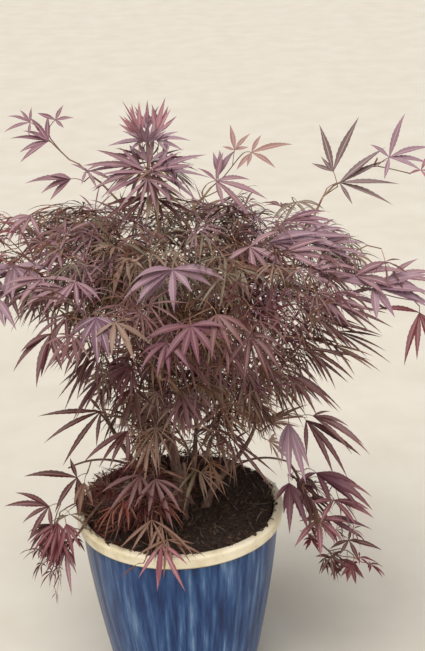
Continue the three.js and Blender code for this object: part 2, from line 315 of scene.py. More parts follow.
def drill(piece):
    """Cuts the round upright holes through the pot's floor."""
    turn = np.arange(DRAIN_SIDES) * 2 * math.pi / DRAIN_SIDES
    ring = np.stack([DRAIN_RADIUS * np.cos(turn), DRAIN_RADIUS * np.sin(turn)], axis=-1)
    points, faces = [], []
    for i in range(DRAINS):
        around = 2 * math.pi * i / DRAINS + math.pi / 2
        at = DRAIN_CIRCLE * np.array([math.cos(around), math.sin(around)])
        under = [len(points) + k for k in range(DRAIN_SIDES)]
        over = [k + DRAIN_SIDES for k in under]
        points += [(*(at + p), height) for height in DRILL_ENDS for p in ring]
        faces += [under[::-1], over]
        faces += [list(side) for side in zip(under, under[1:] + under[:1], over[1:] + over[:1], over)]
    mesh = bpy.data.meshes.new("drill")
    mesh.from_pydata(points, [], faces)
    tool = bpy.data.objects.new("drill", mesh)
    bpy.context.scene.collection.objects.link(tool)
    cut = piece.modifiers.new("drains", "BOOLEAN")
    cut.operation, cut.object = "DIFFERENCE", tool
    bpy.context.view_layer.objects.active = piece
    bpy.ops.object.modifier_apply(modifier="drains")
    bpy.data.objects.remove(tool)


wall = pot_wall()
drill(wall)
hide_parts("pot_body")


# ---- Rim ----
# A flat band thrown on top of the wall, brushed with a thick cream glaze. It is a little uneven,
# worn at its edges, stained brown by water and specked with compost along the inside. Its lower
# edge is darkened with painted shade from its overhang, along with some dark glaze.
rim_low, rim_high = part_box("pot_rim")
RIM_RADIUS = rim_high.x
RIM_FOOT = 0.197
RIM_INNER = 0.183
RIM_ROUND = 0.006
RIM_WAVE = 0.0022       # of its radius, in long waves
RIM_DENT = 0.0012       # and in short ones
RIM_SWAY = 0.0007       # how far its top goes up and down


def cream_rim():
    band, middle = rim_high.z - rim_low.z, (RIM_RADIUS + RIM_INNER) / 2
    half = (RIM_RADIUS - RIM_INNER) / 2
    bend = np.linspace(0, math.pi, 13)
    crown = [(middle + half * math.cos(a), rim_high.z - RIM_ROUND + RIM_ROUND * math.sin(a) ** 0.7)
             for a in bend]
    side = [(RIM_FOOT + (RIM_RADIUS - RIM_FOOT) * k, rim_low.z + 0.003 + (band - RIM_ROUND - 0.003) * k)
            for k in np.linspace(0, 0.95, 8)]
    foot = [(RIM_INNER - 0.002, rim_low.z), (RIM_FOOT - 0.003, rim_low.z),
            (RIM_FOOT - 0.0008, rim_low.z + 0.0008)]
    inside = [(RIM_INNER - 0.0022, rim_low.z + band * k) for k in (0.6, 0.3)]
    points, quads = turned(foot + side + crown + inside, POT_SIDES)
    flat = points.reshape(-1, 3)
    for i, p in enumerate(flat):
        wave = noise.noise(Vector((p[0] * 14, p[1] * 14, p[2] * 30)))
        dent = noise.noise(Vector((p[0] * 70, p[1] * 70, p[2] * 70)))
        flat[i] = p * (1 + np.array([1, 1, 0]) * (RIM_WAVE * wave + RIM_DENT * dent))
        flat[i][2] = min(p[2] + RIM_SWAY * wave * (p[2] > rim_low.z + 0.004), rim_high.z + 0.0005)
    return mesh_piece("cream_rim", flat, [quads], [cream_glaze()])


def cream_glaze():
    made, tree, shader = new_material("cream_glaze", 0.42, Coat_Weight=0.15, Coat_Roughness=0.3)
    place = stretched(tree, 1, 1, 1)
    broad = cloud(tree, place, 17, 5, 0.6)
    fine = cloud(tree, place, 95, 6, 0.65)
    colour = ramp(tree, broad, [
        (0.32, srgb(206, 190, 152)), (0.5, srgb(236, 224, 194)), (0.7, srgb(244, 236, 214))])
    stain = between(tree, fine, 0.6, 0.74, 0.0, 0.55)
    colour = blended(tree, stain, colour, srgb(150, 124, 84))
    radius = tree.nodes.new("ShaderNodeVectorMath")
    radius.operation = "LENGTH"
    tree.links.new(stretched(tree, 1, 1, 0), radius.inputs[0])
    dirt = between(tree, radius.outputs["Value"], RIM_INNER + 0.0065, RIM_INNER - 0.001, 0.0, 0.8)
    broken = worked_out(tree, "MULTIPLY", dirt, between(tree, broad, 0.4, 0.62, 0.15, 1.0))
    colour = blended(tree, broken, colour, srgb(104, 80, 58))
    specks = between(tree, cells(tree, place, 120), 0.05, 0.1, 0.85, 0.0)
    patches = worked_out(tree, "MULTIPLY", specks, between(tree, broad, 0.5, 0.6))
    colour = blended(tree, patches, colour, srgb(74, 58, 46))
    # The lower edge is darkened: painted shade under the rim's overhang, along with some dark glaze.
    foot = between(tree, height_of(tree), rim_low.z + 0.0035, rim_low.z + 0.0015, 0.0, 0.8)
    tree.links.new(blended(tree, foot, colour, srgb(72, 62, 58)), shader.inputs["Base Color"])
    tree.links.new(between(tree, fine, 0.3, 0.7, 0.32, 0.6), shader.inputs["Roughness"])
    raised(tree, shader, fine, 0.25, 0.0012)
    return made


rim = cream_rim()
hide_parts("pot_rim")


# ---- Compost ----
# Dark, damp potting compost, filled to just under the rim and a little higher at the back and sides:
# a rough top with loose crumbs, some spilt on the rim, and last year's dry leaf lobes lying on it.
soil_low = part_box("soil")[0]
SOIL_LEVEL = 0.367
SOIL_EDGE = 0.1785
SOIL_HEAP = 0.024       # how much higher it is at the back of the rim
CRUMBS = 1300
SPILT_CRUMBS = 340      # those that lie on the rim
DRY_LOBES = 2600
# How often the compost goes up and down in a metre, how high, and a shift.
SOIL_ROUGH = ((22, 0.0045, 0.3), (70, 0.0028, 1.3), (190, 0.0016, 4.3))
SOIL_RIDGES = 0.0035
LITTER_FADE = 0.16


def soil_height(x, y):
    """The height of the compost's top, which has ridges towards its edge."""
    rough = sum(noise.noise(Vector((x * often, y * often, shift))) * high
                for often, high, shift in SOIL_ROUGH)
    heap = SOIL_HEAP * min(1.0, max(0.0, (y + 0.4 * abs(x) + 0.02) / (SOIL_EDGE + 0.02))) ** 1.4
    edge = max(0.0, math.hypot(x, y) / SOIL_EDGE - 0.55)
    return SOIL_LEVEL + rough + heap + SOIL_RIDGES * edge * math.sin(7 * math.atan2(y, x))


def compost_top():
    rings, around = 80, 220
    radii = SOIL_EDGE * np.linspace(0.004, 1, rings) ** 0.8
    under = [(pot_radius(z) - POT_WALL - 0.0004, z) for z in (0.352, 0.3, 0.2, 0.1, soil_low.z)]
    outline = [(r, SOIL_LEVEL) for r in radii] + under + [(0.0007, soil_low.z)]
    points, quads = turned(outline, around)
    for p in points[:rings].reshape(-1, 3):
        p[2] = soil_height(p[0], p[1])
    return mesh_piece("compost", points.reshape(-1, 3), [quads[:, ::-1]], [damp_compost()])


def damp_compost():
    made, tree, shader = new_material("damp_compost", 0.95, Specular_IOR_Level=0.2)
    place = stretched(tree, 1, 1, 1)
    fine = cloud(tree, place, 260, 8, 0.7)
    broad = cloud(tree, place, 28, 4, 0.6)
    colour = ramp(tree, fine, [(0.3, srgb(24, 19, 16)), (0.5, srgb(52, 42, 36)), (0.72, srgb(96, 80, 68))])
    colour = blended(tree, between(tree, broad, 0.42, 0.66, 0.0, 0.7), colour, srgb(62, 45, 39))
    tree.links.new(colour, shader.inputs["Base Color"])
    raised(tree, shader, fine, 0.8, 0.003)
    return made


def crumb_material():
    stops = [(0.35, srgb(32, 24, 20)), (0.55, srgb(70, 54, 44)), (0.75, srgb(118, 98, 80))]
    return mottled("compost_crumb", 0.95, (120, 5, 0.6), stops, Specular_IOR_Level=0.2)


def ball():
    """Points and faces of a rounded lump."""
    built = bmesh.new()
    bmesh.ops.create_icosphere(built, subdivisions=2, radius=1)
    points = np.array([v.co for v in built.verts])
    faces = np.array([[v.index for v in f.verts] for f in built.faces])
    built.free()
    return points, faces


def rim_height(radius):
    """The height of the rim's rounded top at a distance from its middle."""
    across = (2 * radius - RIM_RADIUS - RIM_INNER) / (RIM_RADIUS - RIM_INNER)
    return rim_high.z - RIM_ROUND * (1 - max(0.0, 1 - across ** 2) ** 0.35)


def compost_crumbs(random):
    points, faces = ball()
    lump_points, lump_faces = [], []
    for i in range(CRUMBS + SPILT_CRUMBS):
        spilt = i >= CRUMBS
        radius = SOIL_EDGE * math.sqrt(random.random()) * 0.985
        turn = random.random() * 2 * math.pi
        if spilt:
            radius = RIM_INNER - 0.001 + 0.009 * random.random() ** 2
            turn += 0.3 * math.sin(5 * turn) + 0.07 * math.sin(19 * turn)
        x, y = radius * math.cos(turn), radius * math.sin(turn)
        size = 0.0011 + 0.0042 * random.random() ** 3
        shape = points * (1 + 0.175 * random.standard_normal((len(points), 1)))
        shape = shape * size * random.uniform(0.6, 1.4, 3)
        shape = shape + (x, y, (rim_height(radius) if spilt else soil_height(x, y)) + size * 0.2)
        lump_points.append(shape)
        lump_faces.append(faces + i * len(points))
    return mesh_piece("compost_crumbs", np.concatenate(lump_points), [np.concatenate(lump_faces)],
                      [crumb_material()], smooth=False)


compost = compost_top()
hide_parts("soil")
crumbs = compost_crumbs(np.random.default_rng(11))


def littered(x, y):
    """How far a place is into the litter, which lies at the left and the back."""
    return 0.9 * y - 1.1 * x + 0.03


def dry_lobes(random):
    """Fallen leaf lobes: thin curled strips, reddish in the litter, and sparse and grey out of it."""
    points = []
    while len(points) < DRY_LOBES:
        radius = (SOIL_EDGE + 0.012) * math.sqrt(random.random())
        turn = random.random() * 2 * math.pi
        x, y = radius * math.cos(turn), radius * math.sin(turn)
        if random.random() > 0.05 + min(1.0, max(0.0, littered(x, y) / LITTER_FADE)):
            continue
        deep = random.random() ** 2 * 0.014
        top = max(soil_height(x, y), rim_high.z + 0.001 if radius > RIM_INNER else 0)
        way = unit_level(random.random() * 2 * math.pi, random.normal(0.0, 0.35))
        length, half = random.uniform(0.012, 0.042), random.uniform(0.0006, 0.0016)
        curl = random.normal(0, 0.3)
        row, at = [], np.array([x, y, top + deep * (1 - radius / SOIL_EDGE * 0.5)])
        for share in (0.2, 1.0, 0.8, 0.1):
            side = np.array([-way[1], way[0], 0.4 * math.sin(9 * turn)]) * half * share
            row += [at + side, at - side]
            way = way + (curl * -way[1], curl * way[0], random.normal(-0.1, 0.2))
            at = at + way / np.linalg.norm(way) * length / 3
            reach = math.hypot(at[0], at[1])
            if reach > RIM_RADIUS - 0.004:
                at[:2] *= (RIM_RADIUS - 0.004) / reach
        points.append(np.array(row))
    first = np.arange(len(points))[:, None, None] * 8 + np.arange(3)[None, :, None] * 2
    faces = (first + np.array([0, 1, 3, 2])).reshape(-1, 4)
    kind = random.choice(4, len(points), p=[0.36, 0.3, 0.24, 0.1])
    feet = np.array([row[0] for row in points])
    kind[littered(feet[:, 0], feet[:, 1]) < 0] = 4
    browns = [srgb(92, 46, 38), srgb(64, 38, 30), srgb(112, 66, 50), srgb(150, 120, 92), srgb(88, 78, 70)]
    made = [dry_material(i, colour) for i, colour in enumerate(browns)]
    return mesh_piece("dry_lobes", np.concatenate(points), [faces], made, np.repeat(kind, 3))


def unit_level(turn, rise):
    way = np.array([math.cos(turn), math.sin(turn), rise])
    return way / np.linalg.norm(way)


def dry_material(number, colour):
    return new_material(f"dry_lobe_{number}", 0.8, Specular_IOR_Level=0.25, Base_Color=colour)[0]


litter = dry_lobes(np.random.default_rng(17))


# ---- Stems, boughs and leaders ----
# Several slim stems from one root, flared where they enter the compost, with boughs and upright
# leaders growing from them. The bark is smooth and brown, finely furrowed low down.
BARK_SIDES = 18
BARK_STEP = 0.004
SHORT_LIMB = 0.1        # a limb shorter than this is taken as straight
SCARS_APART = 0.047     # from one leaf scar to the next
STEM_FLARE = 1.8
BOUGH_LAP = 0.006       # how far a bough starts inside its stem
limbs = [n for n in sorted(frame["nodes"]) if n.split("_")[0] in ("stem", "bough", "leader")]


def limb_axis(node):
    """Points along a limb's middle, foot first, and its radius at each."""
    corners = np.array([v.co for v in frame["nodes"][node].data.vertices])
    middle = corners.mean(axis=0)
    along = np.linalg.svd(corners - middle)[2][0]
    share = (corners - middle) @ along
    low, high = share.min(), share.max()
    share = (share - low) / (high - low)
    terms = 4 if high - low > SHORT_LIMB else 2
    powers = np.stack([share ** k for k in range(terms)], axis=-1)
    fit = np.linalg.lstsq(powers, corners, rcond=None)[0]
    steps = max(4, int((high - low) / BARK_STEP))
    even = np.linspace(0, 1, steps + 1)
    line = np.stack([even ** k for k in range(terms)], axis=-1) @ fit
    off = np.linalg.norm(corners - powers @ fit, axis=1)
    wide = off > 0.4 * np.median(off)
    slope, thick = np.polyfit(share[wide & (share > 0.12)], off[wide & (share > 0.12)], 1)
    radius = np.maximum(thick + slope * even, 0.001)
    if foot_is_last(node, line):
        line, radius = line[::-1], radius[::-1]
    return line, radius


def foot_is_last(node, line):
    """Whether a limb's points start at its tip: stems and leaders rise, boughs leave the middle."""
    if node.startswith("bough"):
        return math.hypot(line[0][0], line[0][1]) > math.hypot(line[-1][0], line[-1][1])
    return line[0][2] > line[-1][2]


def unit(vectors):
    vectors = np.asarray(vectors, float)
    return vectors / np.maximum(np.linalg.norm(vectors, axis=-1, keepdims=True), 1e-9)


def frames_along(line):
    """Two directions square to a line, and to each other, at each of its points."""
    along = unit(np.gradient(line, axis=0))
    side = np.zeros_like(along)
    side[0] = unit(np.cross(along[0], (0.31, 0.95, 0.05)))
    for i in range(1, len(line)):
        side[i] = unit(side[i - 1] - along[i] * (side[i - 1] @ along[i]))
    return side, np.cross(along, side)


def ring_quads(first, sides):
    """Quads from rings of points to the rings after them. first is the number of each ring's first point."""
    k = np.arange(sides)
    beside = (k + 1) % sides
    quads = np.stack([first + k, first + beside, first + sides + beside, first + sides + k], axis=-1)
    return quads.reshape(-1, 4)


def bark_tube(name, line, radius, flare):
    """A limb with its bark's relief: furrows, rings where leaves fell, and a flared foot."""
    side, other = frames_along(line)
    turn = np.arange(BARK_SIDES) * 2 * math.pi / BARK_SIDES
    far = np.concatenate([[0], np.cumsum(np.linalg.norm(np.diff(line, axis=0), axis=1))])
    rows = []
    for i, centre in enumerate(line):
        spread = 1 + (flare - 1) * math.exp(-far[i] / (2.2 * radius[0]))
        ring = 1 + 0.10 * math.exp(-((far[i] % SCARS_APART - 0.02) / 0.0025) ** 2)
        row = []
        for a in turn:
            furrow = noise.noise(Vector((3 * math.cos(a), 3 * math.sin(a), far[i] * 60 + len(name))))
            knob = noise.noise(Vector((math.cos(a), math.sin(a), far[i] * 22 + 2 * len(name))))
            root = 0.5 * (spread - 1) * math.cos(5 * a + 1)
            reach = radius[i] * (spread * ring * (1 + 0.07 * furrow + 0.1 * knob) + root)
            row.append(centre + reach * (math.cos(a) * side[i] + math.sin(a) * other[i]))
        rows.append(row)
    points = np.array(rows)
    if flare > 1:
        points[..., 2] = np.maximum(points[..., 2], SOIL_LEVEL - 0.003)
    flat = np.concatenate([points.reshape(-1, 3), [line[0], line[-1]]])
    quads = ring_quads(np.arange(len(line) - 1)[:, None] * BARK_SIDES, BARK_SIDES)
    around = np.arange(BARK_SIDES)
    beside = (around + 1) % BARK_SIDES
    first, last = len(line) * BARK_SIDES, (len(line) - 1) * BARK_SIDES
    caps = [np.stack([0 * around + first, beside, around], axis=-1),
            np.stack([0 * around + first + 1, last + around, last + beside], axis=-1)]
    return mesh_piece("bark_" + name, flat, [quads, np.concatenate(caps)],
                      [bark_of_leaders if name.startswith("leader") else bark_of_limbs])


def bark():
    made, tree, shader = new_material("bark", 0.7)
    fine = cloud(tree, stretched(tree, 1, 1, 0.25), 300, 6, 0.6)
    broad = cloud(tree, stretched(tree, 1, 1, 0.4), 38, 4, 0.55)
    colour = ramp(tree, fine, [
        (0.3, srgb(70, 50, 44)), (0.52, srgb(108, 82, 68)), (0.75, srgb(150, 124, 102))])
    colour = blended(tree, between(tree, broad, 0.42, 0.66, 0.0, 0.7), colour, srgb(96, 66, 62))
    pores = between(tree, cells(tree, stretched(tree, 1, 1, 2.2), 260), 0.1, 0.2, 0.6, 0.0)
    tree.links.new(blended(tree, pores, colour, srgb(176, 156, 132)), shader.inputs["Base Color"])
    tree.links.new(between(tree, fine, 0.3, 0.7, 0.55, 0.85), shader.inputs["Roughness"])
    raised(tree, shader, fine, 0.6, 0.0012)
    return made


def pale_bark():
    stops = [(0.34, srgb(128, 92, 76)), (0.5, srgb(164, 138, 108)), (0.66, srgb(182, 166, 126))]
    return mottled("pale_bark", 0.55, (60, 5, 0.6), stops, stretch=(1, 1, 0.3))


bark_of_limbs, bark_of_leaders = bark(), pale_bark()
limb_lines = {}
for limb in limbs:
    line, radius = limb_axis(limb)
    if limb.startswith("bough"):
        start = line[0] - unit(line[1] - line[0]) * BOUGH_LAP
        line, radius = np.concatenate([[start], line]), np.concatenate([[radius[0]], radius])
    limb_lines[limb] = line, radius
    tube = bark_tube(limb, line, radius, STEM_FLARE if limb.startswith("stem") else 1)
    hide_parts(limb)


# ---- Twigs ----
# Slender twigs carry on from the ends of the limbs into each mass of leaves, forking again and
# again. A seeded rule grows them: each new spray joins the nearest twig that points its way.
TWIG_SIDES = 5
TWIG_STEP = 0.022
TWIG_TIP = 0.001
TWIG_POWER = 2.6        # what the radii of twigs that join are raised to in their sum
TWIG_MOST = 0.0032
TWIG_WOBBLE = 0.0016
TWIG_LAP = 0.0006       # how far each length of a twig runs into the next
LIMB_STRIDE = 5         # every fifth point of a limb is a joint
CELL = 0.015            # the step of the grid that tells where the masses are
CELL_EDGE = 4           # how many empty cells it has at each end
SIDES = [(1, 0, 0), (-1, 0, 0), (0, 1, 0), (0, -1, 0), (0, 0, 1), (0, 0, -1)]
ROOM = SIDES + [(0, 0, -2)]                                # the cells that a spray fills round its end
FEW_CELLS = 12          # how many of a mass's deepest cells its sprays may end in, at the least
TRIES = 7               # how many places are tried for each spray
BODY = ("crown", "mid", "arm", "low_front", "low_back")    # the masses that grow into each other
AXIS = np.array([0.0, 0.02])                               # the plant's middle, seen from above
# The body is a vase: how low its leaves hang, by their distance out from this place, and how high
# they reach, by their distance to the right.
VASE_AXIS = np.array([0.045, 0.02])
UNDERSIDE = ((0.14, 0.18, 0.21, 0.24, 0.29, 0.33, 0.42), (0.44, 0.52, 0.62, 0.70, 0.785, 0.83, 0.855))
TOPSIDE = ((0.27, 0.36), (0.965, 0.86))
masses = [s["node"] for s in frame["record"]["subparts"] if s["material_slot"].startswith("leaves")]
mass_slot = {s["node"]: s["material_slot"] for s in frame["record"]["subparts"]}
grow = np.random.default_rng(5)

twig_at = []            # where each joint of the twigs is
twig_from = []          # the joint that it grows from, or -1
twig_way = []           # the direction that it points in
twig_least = []         # the least radius that it has
twig_bark = []          # whether a limb's bark already covers it


def add_joint(at, parent, way, least=TWIG_TIP, covered=False):
    twig_at.append(np.asarray(at, float))
    twig_from.append(parent)
    twig_way.append(unit(way))
    twig_least.append(least)
    twig_bark.append(covered)
    return len(twig_at) - 1


def add_limb(name, parent):
    line, radius = limb_lines[name]
    along = unit(np.gradient(line, axis=0))
    for i in range(0, len(line), LIMB_STRIDE):
        parent = add_joint(line[i], parent, along[i], radius[i], True)
    if (len(line) - 1) % LIMB_STRIDE:
        parent = add_joint(line[-1], parent, along[-1], radius[-1], True)
    return parent


def nearest_joint(at):
    """The joint that a twig to a place best grows from: near it, and pointing its way."""
    joints = np.array(twig_at)
    gap = at - joints
    far = np.linalg.norm(gap, axis=1)
    ahead = (np.array(twig_way) * gap).sum(axis=1) / np.maximum(far, 1e-6)
    above = np.maximum(0, joints[:, 2] - at[2])
    cost = far * (1.7 - 0.7 * ahead) + 0.6 * above + (far < 0.02) * 1.0
    return int(np.argmin(cost))


def grow_twig(at, way, least=TWIG_TIP):
    """A curved twig from the best joint to a place, ending in the direction way."""
    parent = nearest_joint(at)
    start, first = twig_at[parent], twig_way[parent]
    far = np.linalg.norm(at - start)
    second = start + unit(first + 0.9 * unit(at - start)) * far * 0.35
    third = at - unit(way) * far * 0.3
    steps = max(2, int(far / TWIG_STEP))
    before = start
    for s in np.linspace(0, 1, steps + 1)[1:]:
        point = ((1 - s) ** 3 * start + 3 * (1 - s) ** 2 * s * second
                 + 3 * (1 - s) * s * s * third + s ** 3 * at)
        point = point + grow.standard_normal(3) * TWIG_WOBBLE * (s < 1)
        parent = add_joint(point, parent, point - before, least)
        before = point
    return parent


def mass_shape(name):
    """The middle of a mass and its half size, from its solid."""
    corners = np.array([v.co for v in frame["nodes"][name].data.vertices])
    low, high = corners.min(axis=0), corners.max(axis=0)
    return (low + high) / 2, (high - low) / 2


# How each mass grows. density: sprays in a litre. fine: the share of them with thread-like lobes.
# rise: how far their twigs turn up. hang: how far their lobes bend down. size: against a full leaf.
# gather: how far each leaf closes its fan, as the hanging ones do. A bare mass has leading leaves only.
CROWN = dict(density=6.5, fine=0.6, rise=0.1, hang=0.5, size=0.95, gather=0.9)
FRONT = dict(density=6.0, fine=0.75, rise=0.0, hang=0.5, size=1.0, gather=0.8)
MIDDLE = dict(density=4.3, fine=0.85, rise=-0.2, hang=0.4, size=1.0, gather=0.62)
LOW = dict(density=3.5, fine=0.85, rise=-0.2, hang=0.4, size=1.0, gather=0.6)
BARE = dict(density=0.0, rise=0.0)
HABITS = {name: BARE for name in masses if name.startswith(("spray_top", "sprig", "low_left", "rim_left"))}
HABITS |= {
    "tier_top": dict(density=0.6, fine=0.2, rise=0.3, hang=0.3, size=0.9, gather=1.0),
    "crown_top": dict(CROWN, density=8.5, fine=0.8),
    "crown_left": dict(CROWN, density=7.4, fine=0.7),
    "crown_right": dict(CROWN, density=6.0),
    "crown_back_right": dict(CROWN, density=4.0),
    "arm_left": dict(CROWN, density=5.0, fine=0.5, rise=-0.1),
    "arm_right": dict(CROWN, density=2.2, fine=0.6, rise=-0.2),
    "crown_front": FRONT,
    "crown_front_left": dict(FRONT, density=4.0),
    "crown_front_right": FRONT,
    "mid_left": MIDDLE,
    "mid_right": dict(MIDDLE, density=4.2),
    "mid_front": MIDDLE,
    "mid_back": dict(MIDDLE, density=4.5),
    "low_right": dict(LOW, density=0.8, fine=0.6),
    "low_front": LOW,
    "low_back": LOW,
    "hanging_left": dict(LOW, density=7.0, fine=0.7, rise=-0.2, hang=0.7, size=0.5, gather=1.0),
    "rim_right": dict(LOW, density=2.5, fine=0.5, hang=0.7, size=0.8),
    "hanging_right": dict(LOW, density=2.5, fine=0.4, rise=-0.5, size=0.5, gather=0.9),
    "spray_soil": dict(LOW, density=15.0, size=0.8),
    "spray_front": dict(LOW, density=2.0, fine=0.8, rise=-0.5, size=0.7),
    "spray_back": dict(LOW, density=4.0, rise=-0.2),
}


def habit(name):
    return HABITS.get(name, CROWN)


def outward(at):
    """The level direction away from the plant's middle, short near the middle itself."""
    level = (np.asarray(at)[..., :2] - AXIS) / 0.22
    level = level / np.maximum(1, np.linalg.norm(level, axis=-1, keepdims=True))
    return np.concatenate([level, 0 * level[..., :1]], axis=-1)


def mass_grid():
    """For each cell of a grid over the plant, the number of the mass that it is in, or -1."""
    steps = [int(n) for n in np.ceil((np.array(cad_high) - np.array(cad_low)) / CELL) + 2 * CELL_EDGE]
    owner = np.full(steps, -1)
    for number, name in enumerate(masses):
        solid = frame["nodes"][name].data
        tree = BVHTree.FromPolygons([v.co for v in solid.vertices], [p.vertices for p in solid.polygons])
        middle, half = mass_shape(name)
        first = ((middle - half - np.array(cad_low)) / CELL).astype(int) + CELL_EDGE
        last = ((middle + half - np.array(cad_low)) / CELL).astype(int) + CELL_EDGE + 1
        for i, j, k in np.ndindex(*(last - first)):
            cell = first + (i, j, k)
            near, face, _, _ = tree.find_nearest(Vector(cell_middle(cell)))
            if (Vector(cell_middle(cell)) - near).dot(face) < 0:
                owner[tuple(cell)] = number
    return owner


def cell_middle(cell):
    return (np.asarray(cell) + 0.5 - CELL_EDGE) * CELL + np.array(cad_low)


def shifted(grid, step):
    """The grid's value at each cell's neighbour, that many steps away."""
    return np.roll(grid, [-n for n in step], (0, 1, 2))


def closed_up(owner, steps):
    """The grid with the gaps between the body's masses given to the nearest of them."""
    body = [i for i, name in enumerate(masses) if name.startswith(BODY)]
    grown = np.where(np.isin(owner, body), owner, -1)
    for _ in range(steps):
        for side in SIDES:
            grown = np.where(grown < 0, shifted(grown, side), grown)
    keep = grown >= 0
    for _ in range(steps):
        keep = np.logical_and.reduce([keep] + [shifted(keep, side) for side in SIDES])
    return np.where((owner < 0) & keep, grown, owner)


def sunk(owner, names, steps):
    """The grid with some masses carried on downwards."""
    for _ in range(steps):
        over = shifted(owner, (0, 0, 1))
        owner = np.where((owner < 0) & np.isin(over, [masses.index(name) for name in names]), over, owner)
    return owner


owner = sunk(closed_up(mass_grid(), steps=6), ("low_front", "low_back"), steps=3)
covered = np.logical_or.reduce([shifted(owner >= 0, step) for step in SIDES])   # where leaves may end
depth = sum(shifted(owner >= 0, step).astype(int) for step in ROOM)
taken = []              # where all the sprays so far end


def underside(at):
    """How low the body's leaves hang at places."""
    return np.interp(np.linalg.norm(at[..., :2] - VASE_AXIS, axis=-1), *UNDERSIDE)


def spray_places(name):
    """Where a mass's sprays end, well spread and with room for leaves, and the way that each points."""
    middle, half = mass_shape(name)
    mine = np.argwhere(owner == masses.index(name))
    if name.startswith(BODY):
        mine = mine[cell_middle(mine)[:, 2] > underside(cell_middle(mine)) + 0.02]
    deep = depth[tuple(mine.T)]
    number = int(round(len(mine) * CELL ** 3 * 1000 * habit(name)["density"]))
    best = mine[deep >= min(len(ROOM), np.sort(deep)[-min(FEW_CELLS, len(deep))])]
    places = []
    for _ in range(number):
        tries = cell_middle(best[grow.integers(0, len(best), TRIES)])
        tries = tries + grow.uniform(-0.5, 0.5, (TRIES, 3)) * CELL
        if taken:
            gap = np.linalg.norm(tries[:, None] - np.array(taken)[None], axis=2).min(axis=1)
            tries = tries[[int(np.argmax(gap))]]
        places.append(tries[0])
        taken.append(tries[0])
    places = np.array(places).reshape(-1, 3)
    ways = unit((places - middle) / half) * 0.5 + outward(places) * 0.6 + (0, 0, habit(name)["rise"])
    return places, unit(ways + 0.35 * grow.standard_normal(places.shape))


sprays = []             # (mass, joint at its end, direction)
leader_ends = []        # the joints at the leaders' tips
leaders = {             # each mass's leaders
    "crown_top": ["leader_top", "leader_top_left", "leader_centre_right"],
    "tier_top": ["leader_apex"],
    "crown_right": ["leader_right"],
    "sprig_right": ["leader_far_right"],
}

for name in limbs:
    if name.startswith("stem"):
        add_limb(name, -1)
for name in limbs:
    if name.startswith("bough"):
        start = limb_lines[name][0][0]
        add_limb(name, int(np.argmin(np.linalg.norm(np.array(twig_at) - start, axis=1))))


def grow_mass(name):
    places, ways = spray_places(name)
    joints = np.array(twig_at)
    nearness = [np.linalg.norm(joints - p, axis=1).min() for p in places]
    for i in np.argsort(nearness):
        sprays.append((name, grow_twig(places[i], ways[i]), ways[i]))
    for leader in leaders.get(name, []):
        line, radius = limb_lines[leader]
        foot = grow_twig(line[0] - unit(line[1] - line[0]) * 0.001, line[1] - line[0], radius[0])
        leader_ends.append(add_limb(leader, foot))


last = ["tier_top", "spray_top", "sprig_right", "sprig_far_right"]
mass_order = sorted(masses, key=lambda name: np.linalg.norm(mass_shape(name)[0] - (0, 0.02, 0.6)))
for name in [n for n in mass_order if n not in last] + last:
    grow_mass(name)


# ---- Leading leaves ----
# The large leaves at the tips of the tiers, which give the plant its outline: broad young ones
# that stand up at the top, stars round the crown, and long dark ones that hang at the sides.
TOP_AXIS = np.array([-0.028, 0.045, 0])    # the leader that the top tier stands round
LEAD_STALK = 0.03
LEAD_LEAN = 0.15        # how far a leading leaf leans towards the front

Lead = namedtuple("Lead", "mass hub tint width hang fan turn")
leads = []


def spun(ways, turn):
    """Vectors turned round the upright axis by degrees."""
    c, s = math.cos(math.radians(turn)), math.sin(math.radians(turn))
    x, y, z = np.moveaxis(ways, -1, 0)
    return np.stack([c * x - s * y, s * x + c * y, z], axis=-1)


def leading(mass, rows):
    """The leading leaves of a mass. Each row has the leaf's hub in mm, its tint, how wide its lobes are and
    how far they hang, and its fan: each lobe's angle, seen from the front, and its length in mm. Turns at
    the end of a row repeat the leaf round the top leader."""
    for hub, tint, width, hang, fan, *turns in rows:
        for turn in turns or [0]:
            at = np.array(hub) / 1000
            if turn:
                at = TOP_AXIS + spun(at - TOP_AXIS, turn)
            leads.append(Lead(mass, at, tint, width, hang, fan, turn))


leading("sprig_top_left", [
    ((-205, 60, 1085), "orchid", 1.1, 0.3, {172: 70, 216: 66, 148: 50, 122: 58, 100: 48, 190: 56}),
    ((-190, 60, 1123), "orchid", 1.1, 0.1, {64: 30, 2: 34, -45: 22, 155: 34}),
    ((-235, 60, 1120), "orchid", 0.8, 0.3, {82: 28, 157: 42, 195: 50, 265: 26, 120: 30}),
])
leading("sprig_left", [
    ((-140, 60, 1030), "mauve", 0.8, 0.3, {160: 32, 23: 52, -17: 54, -62: 42, 250: 32}),
    ((-170, 60, 1015), "mauve", 1.3, 0.3, {184: 84, 205: 62, 226: 56, 165: 42}),
])
leading("tier_top", [
    ((-40, 30, 1038), "mauve", 0.8, 0.15, {169: 106, 154: 88, 201: 100, 218: 96, 135: 56, 240: 60}),
    ((-18, 25, 1034), "lilac", 0.85, 0.15, {24: 98, -5: 106, -33: 104, -62: 72, 55: 56, 4: 70}, 0, 80, 200),
    ((-28, 40, 1044), "lilac", 0.9, 0.1, {118: 52, 96: 52, 72: 56, 142: 48, 44: 46}),
    ((-30, 10, 1036), "orchid", 0.7, 0.2,
     {188: 84, 176: 92, 212: 70, 148: 66, 34: 72, 12: 84, -18: 80}, 0, 90, 180),
    ((-30, 14, 1030), "dusk", 0.9, 0.2,
     {90: 40, 30: 46, 150: 46, 208: 50, 332: 50, 268: 48, 300: 52, 238: 50}),
    ((-30, 5, 1026), "mauve", 0.7, 0.3, {196: 80, 226: 82, 254: 60, 282: 62, 310: 74, 334: 84}, 0, 100, 260),
    ((-35, 30, 985), "plum", 0.7, 0.3, {204: 100, 192: 84, 222: 76, 250: 64}),
    ((-18, 40, 978), "plum", 0.7, 0.3, {-22: 90, -42: 80, -8: 66, -70: 54}),
])
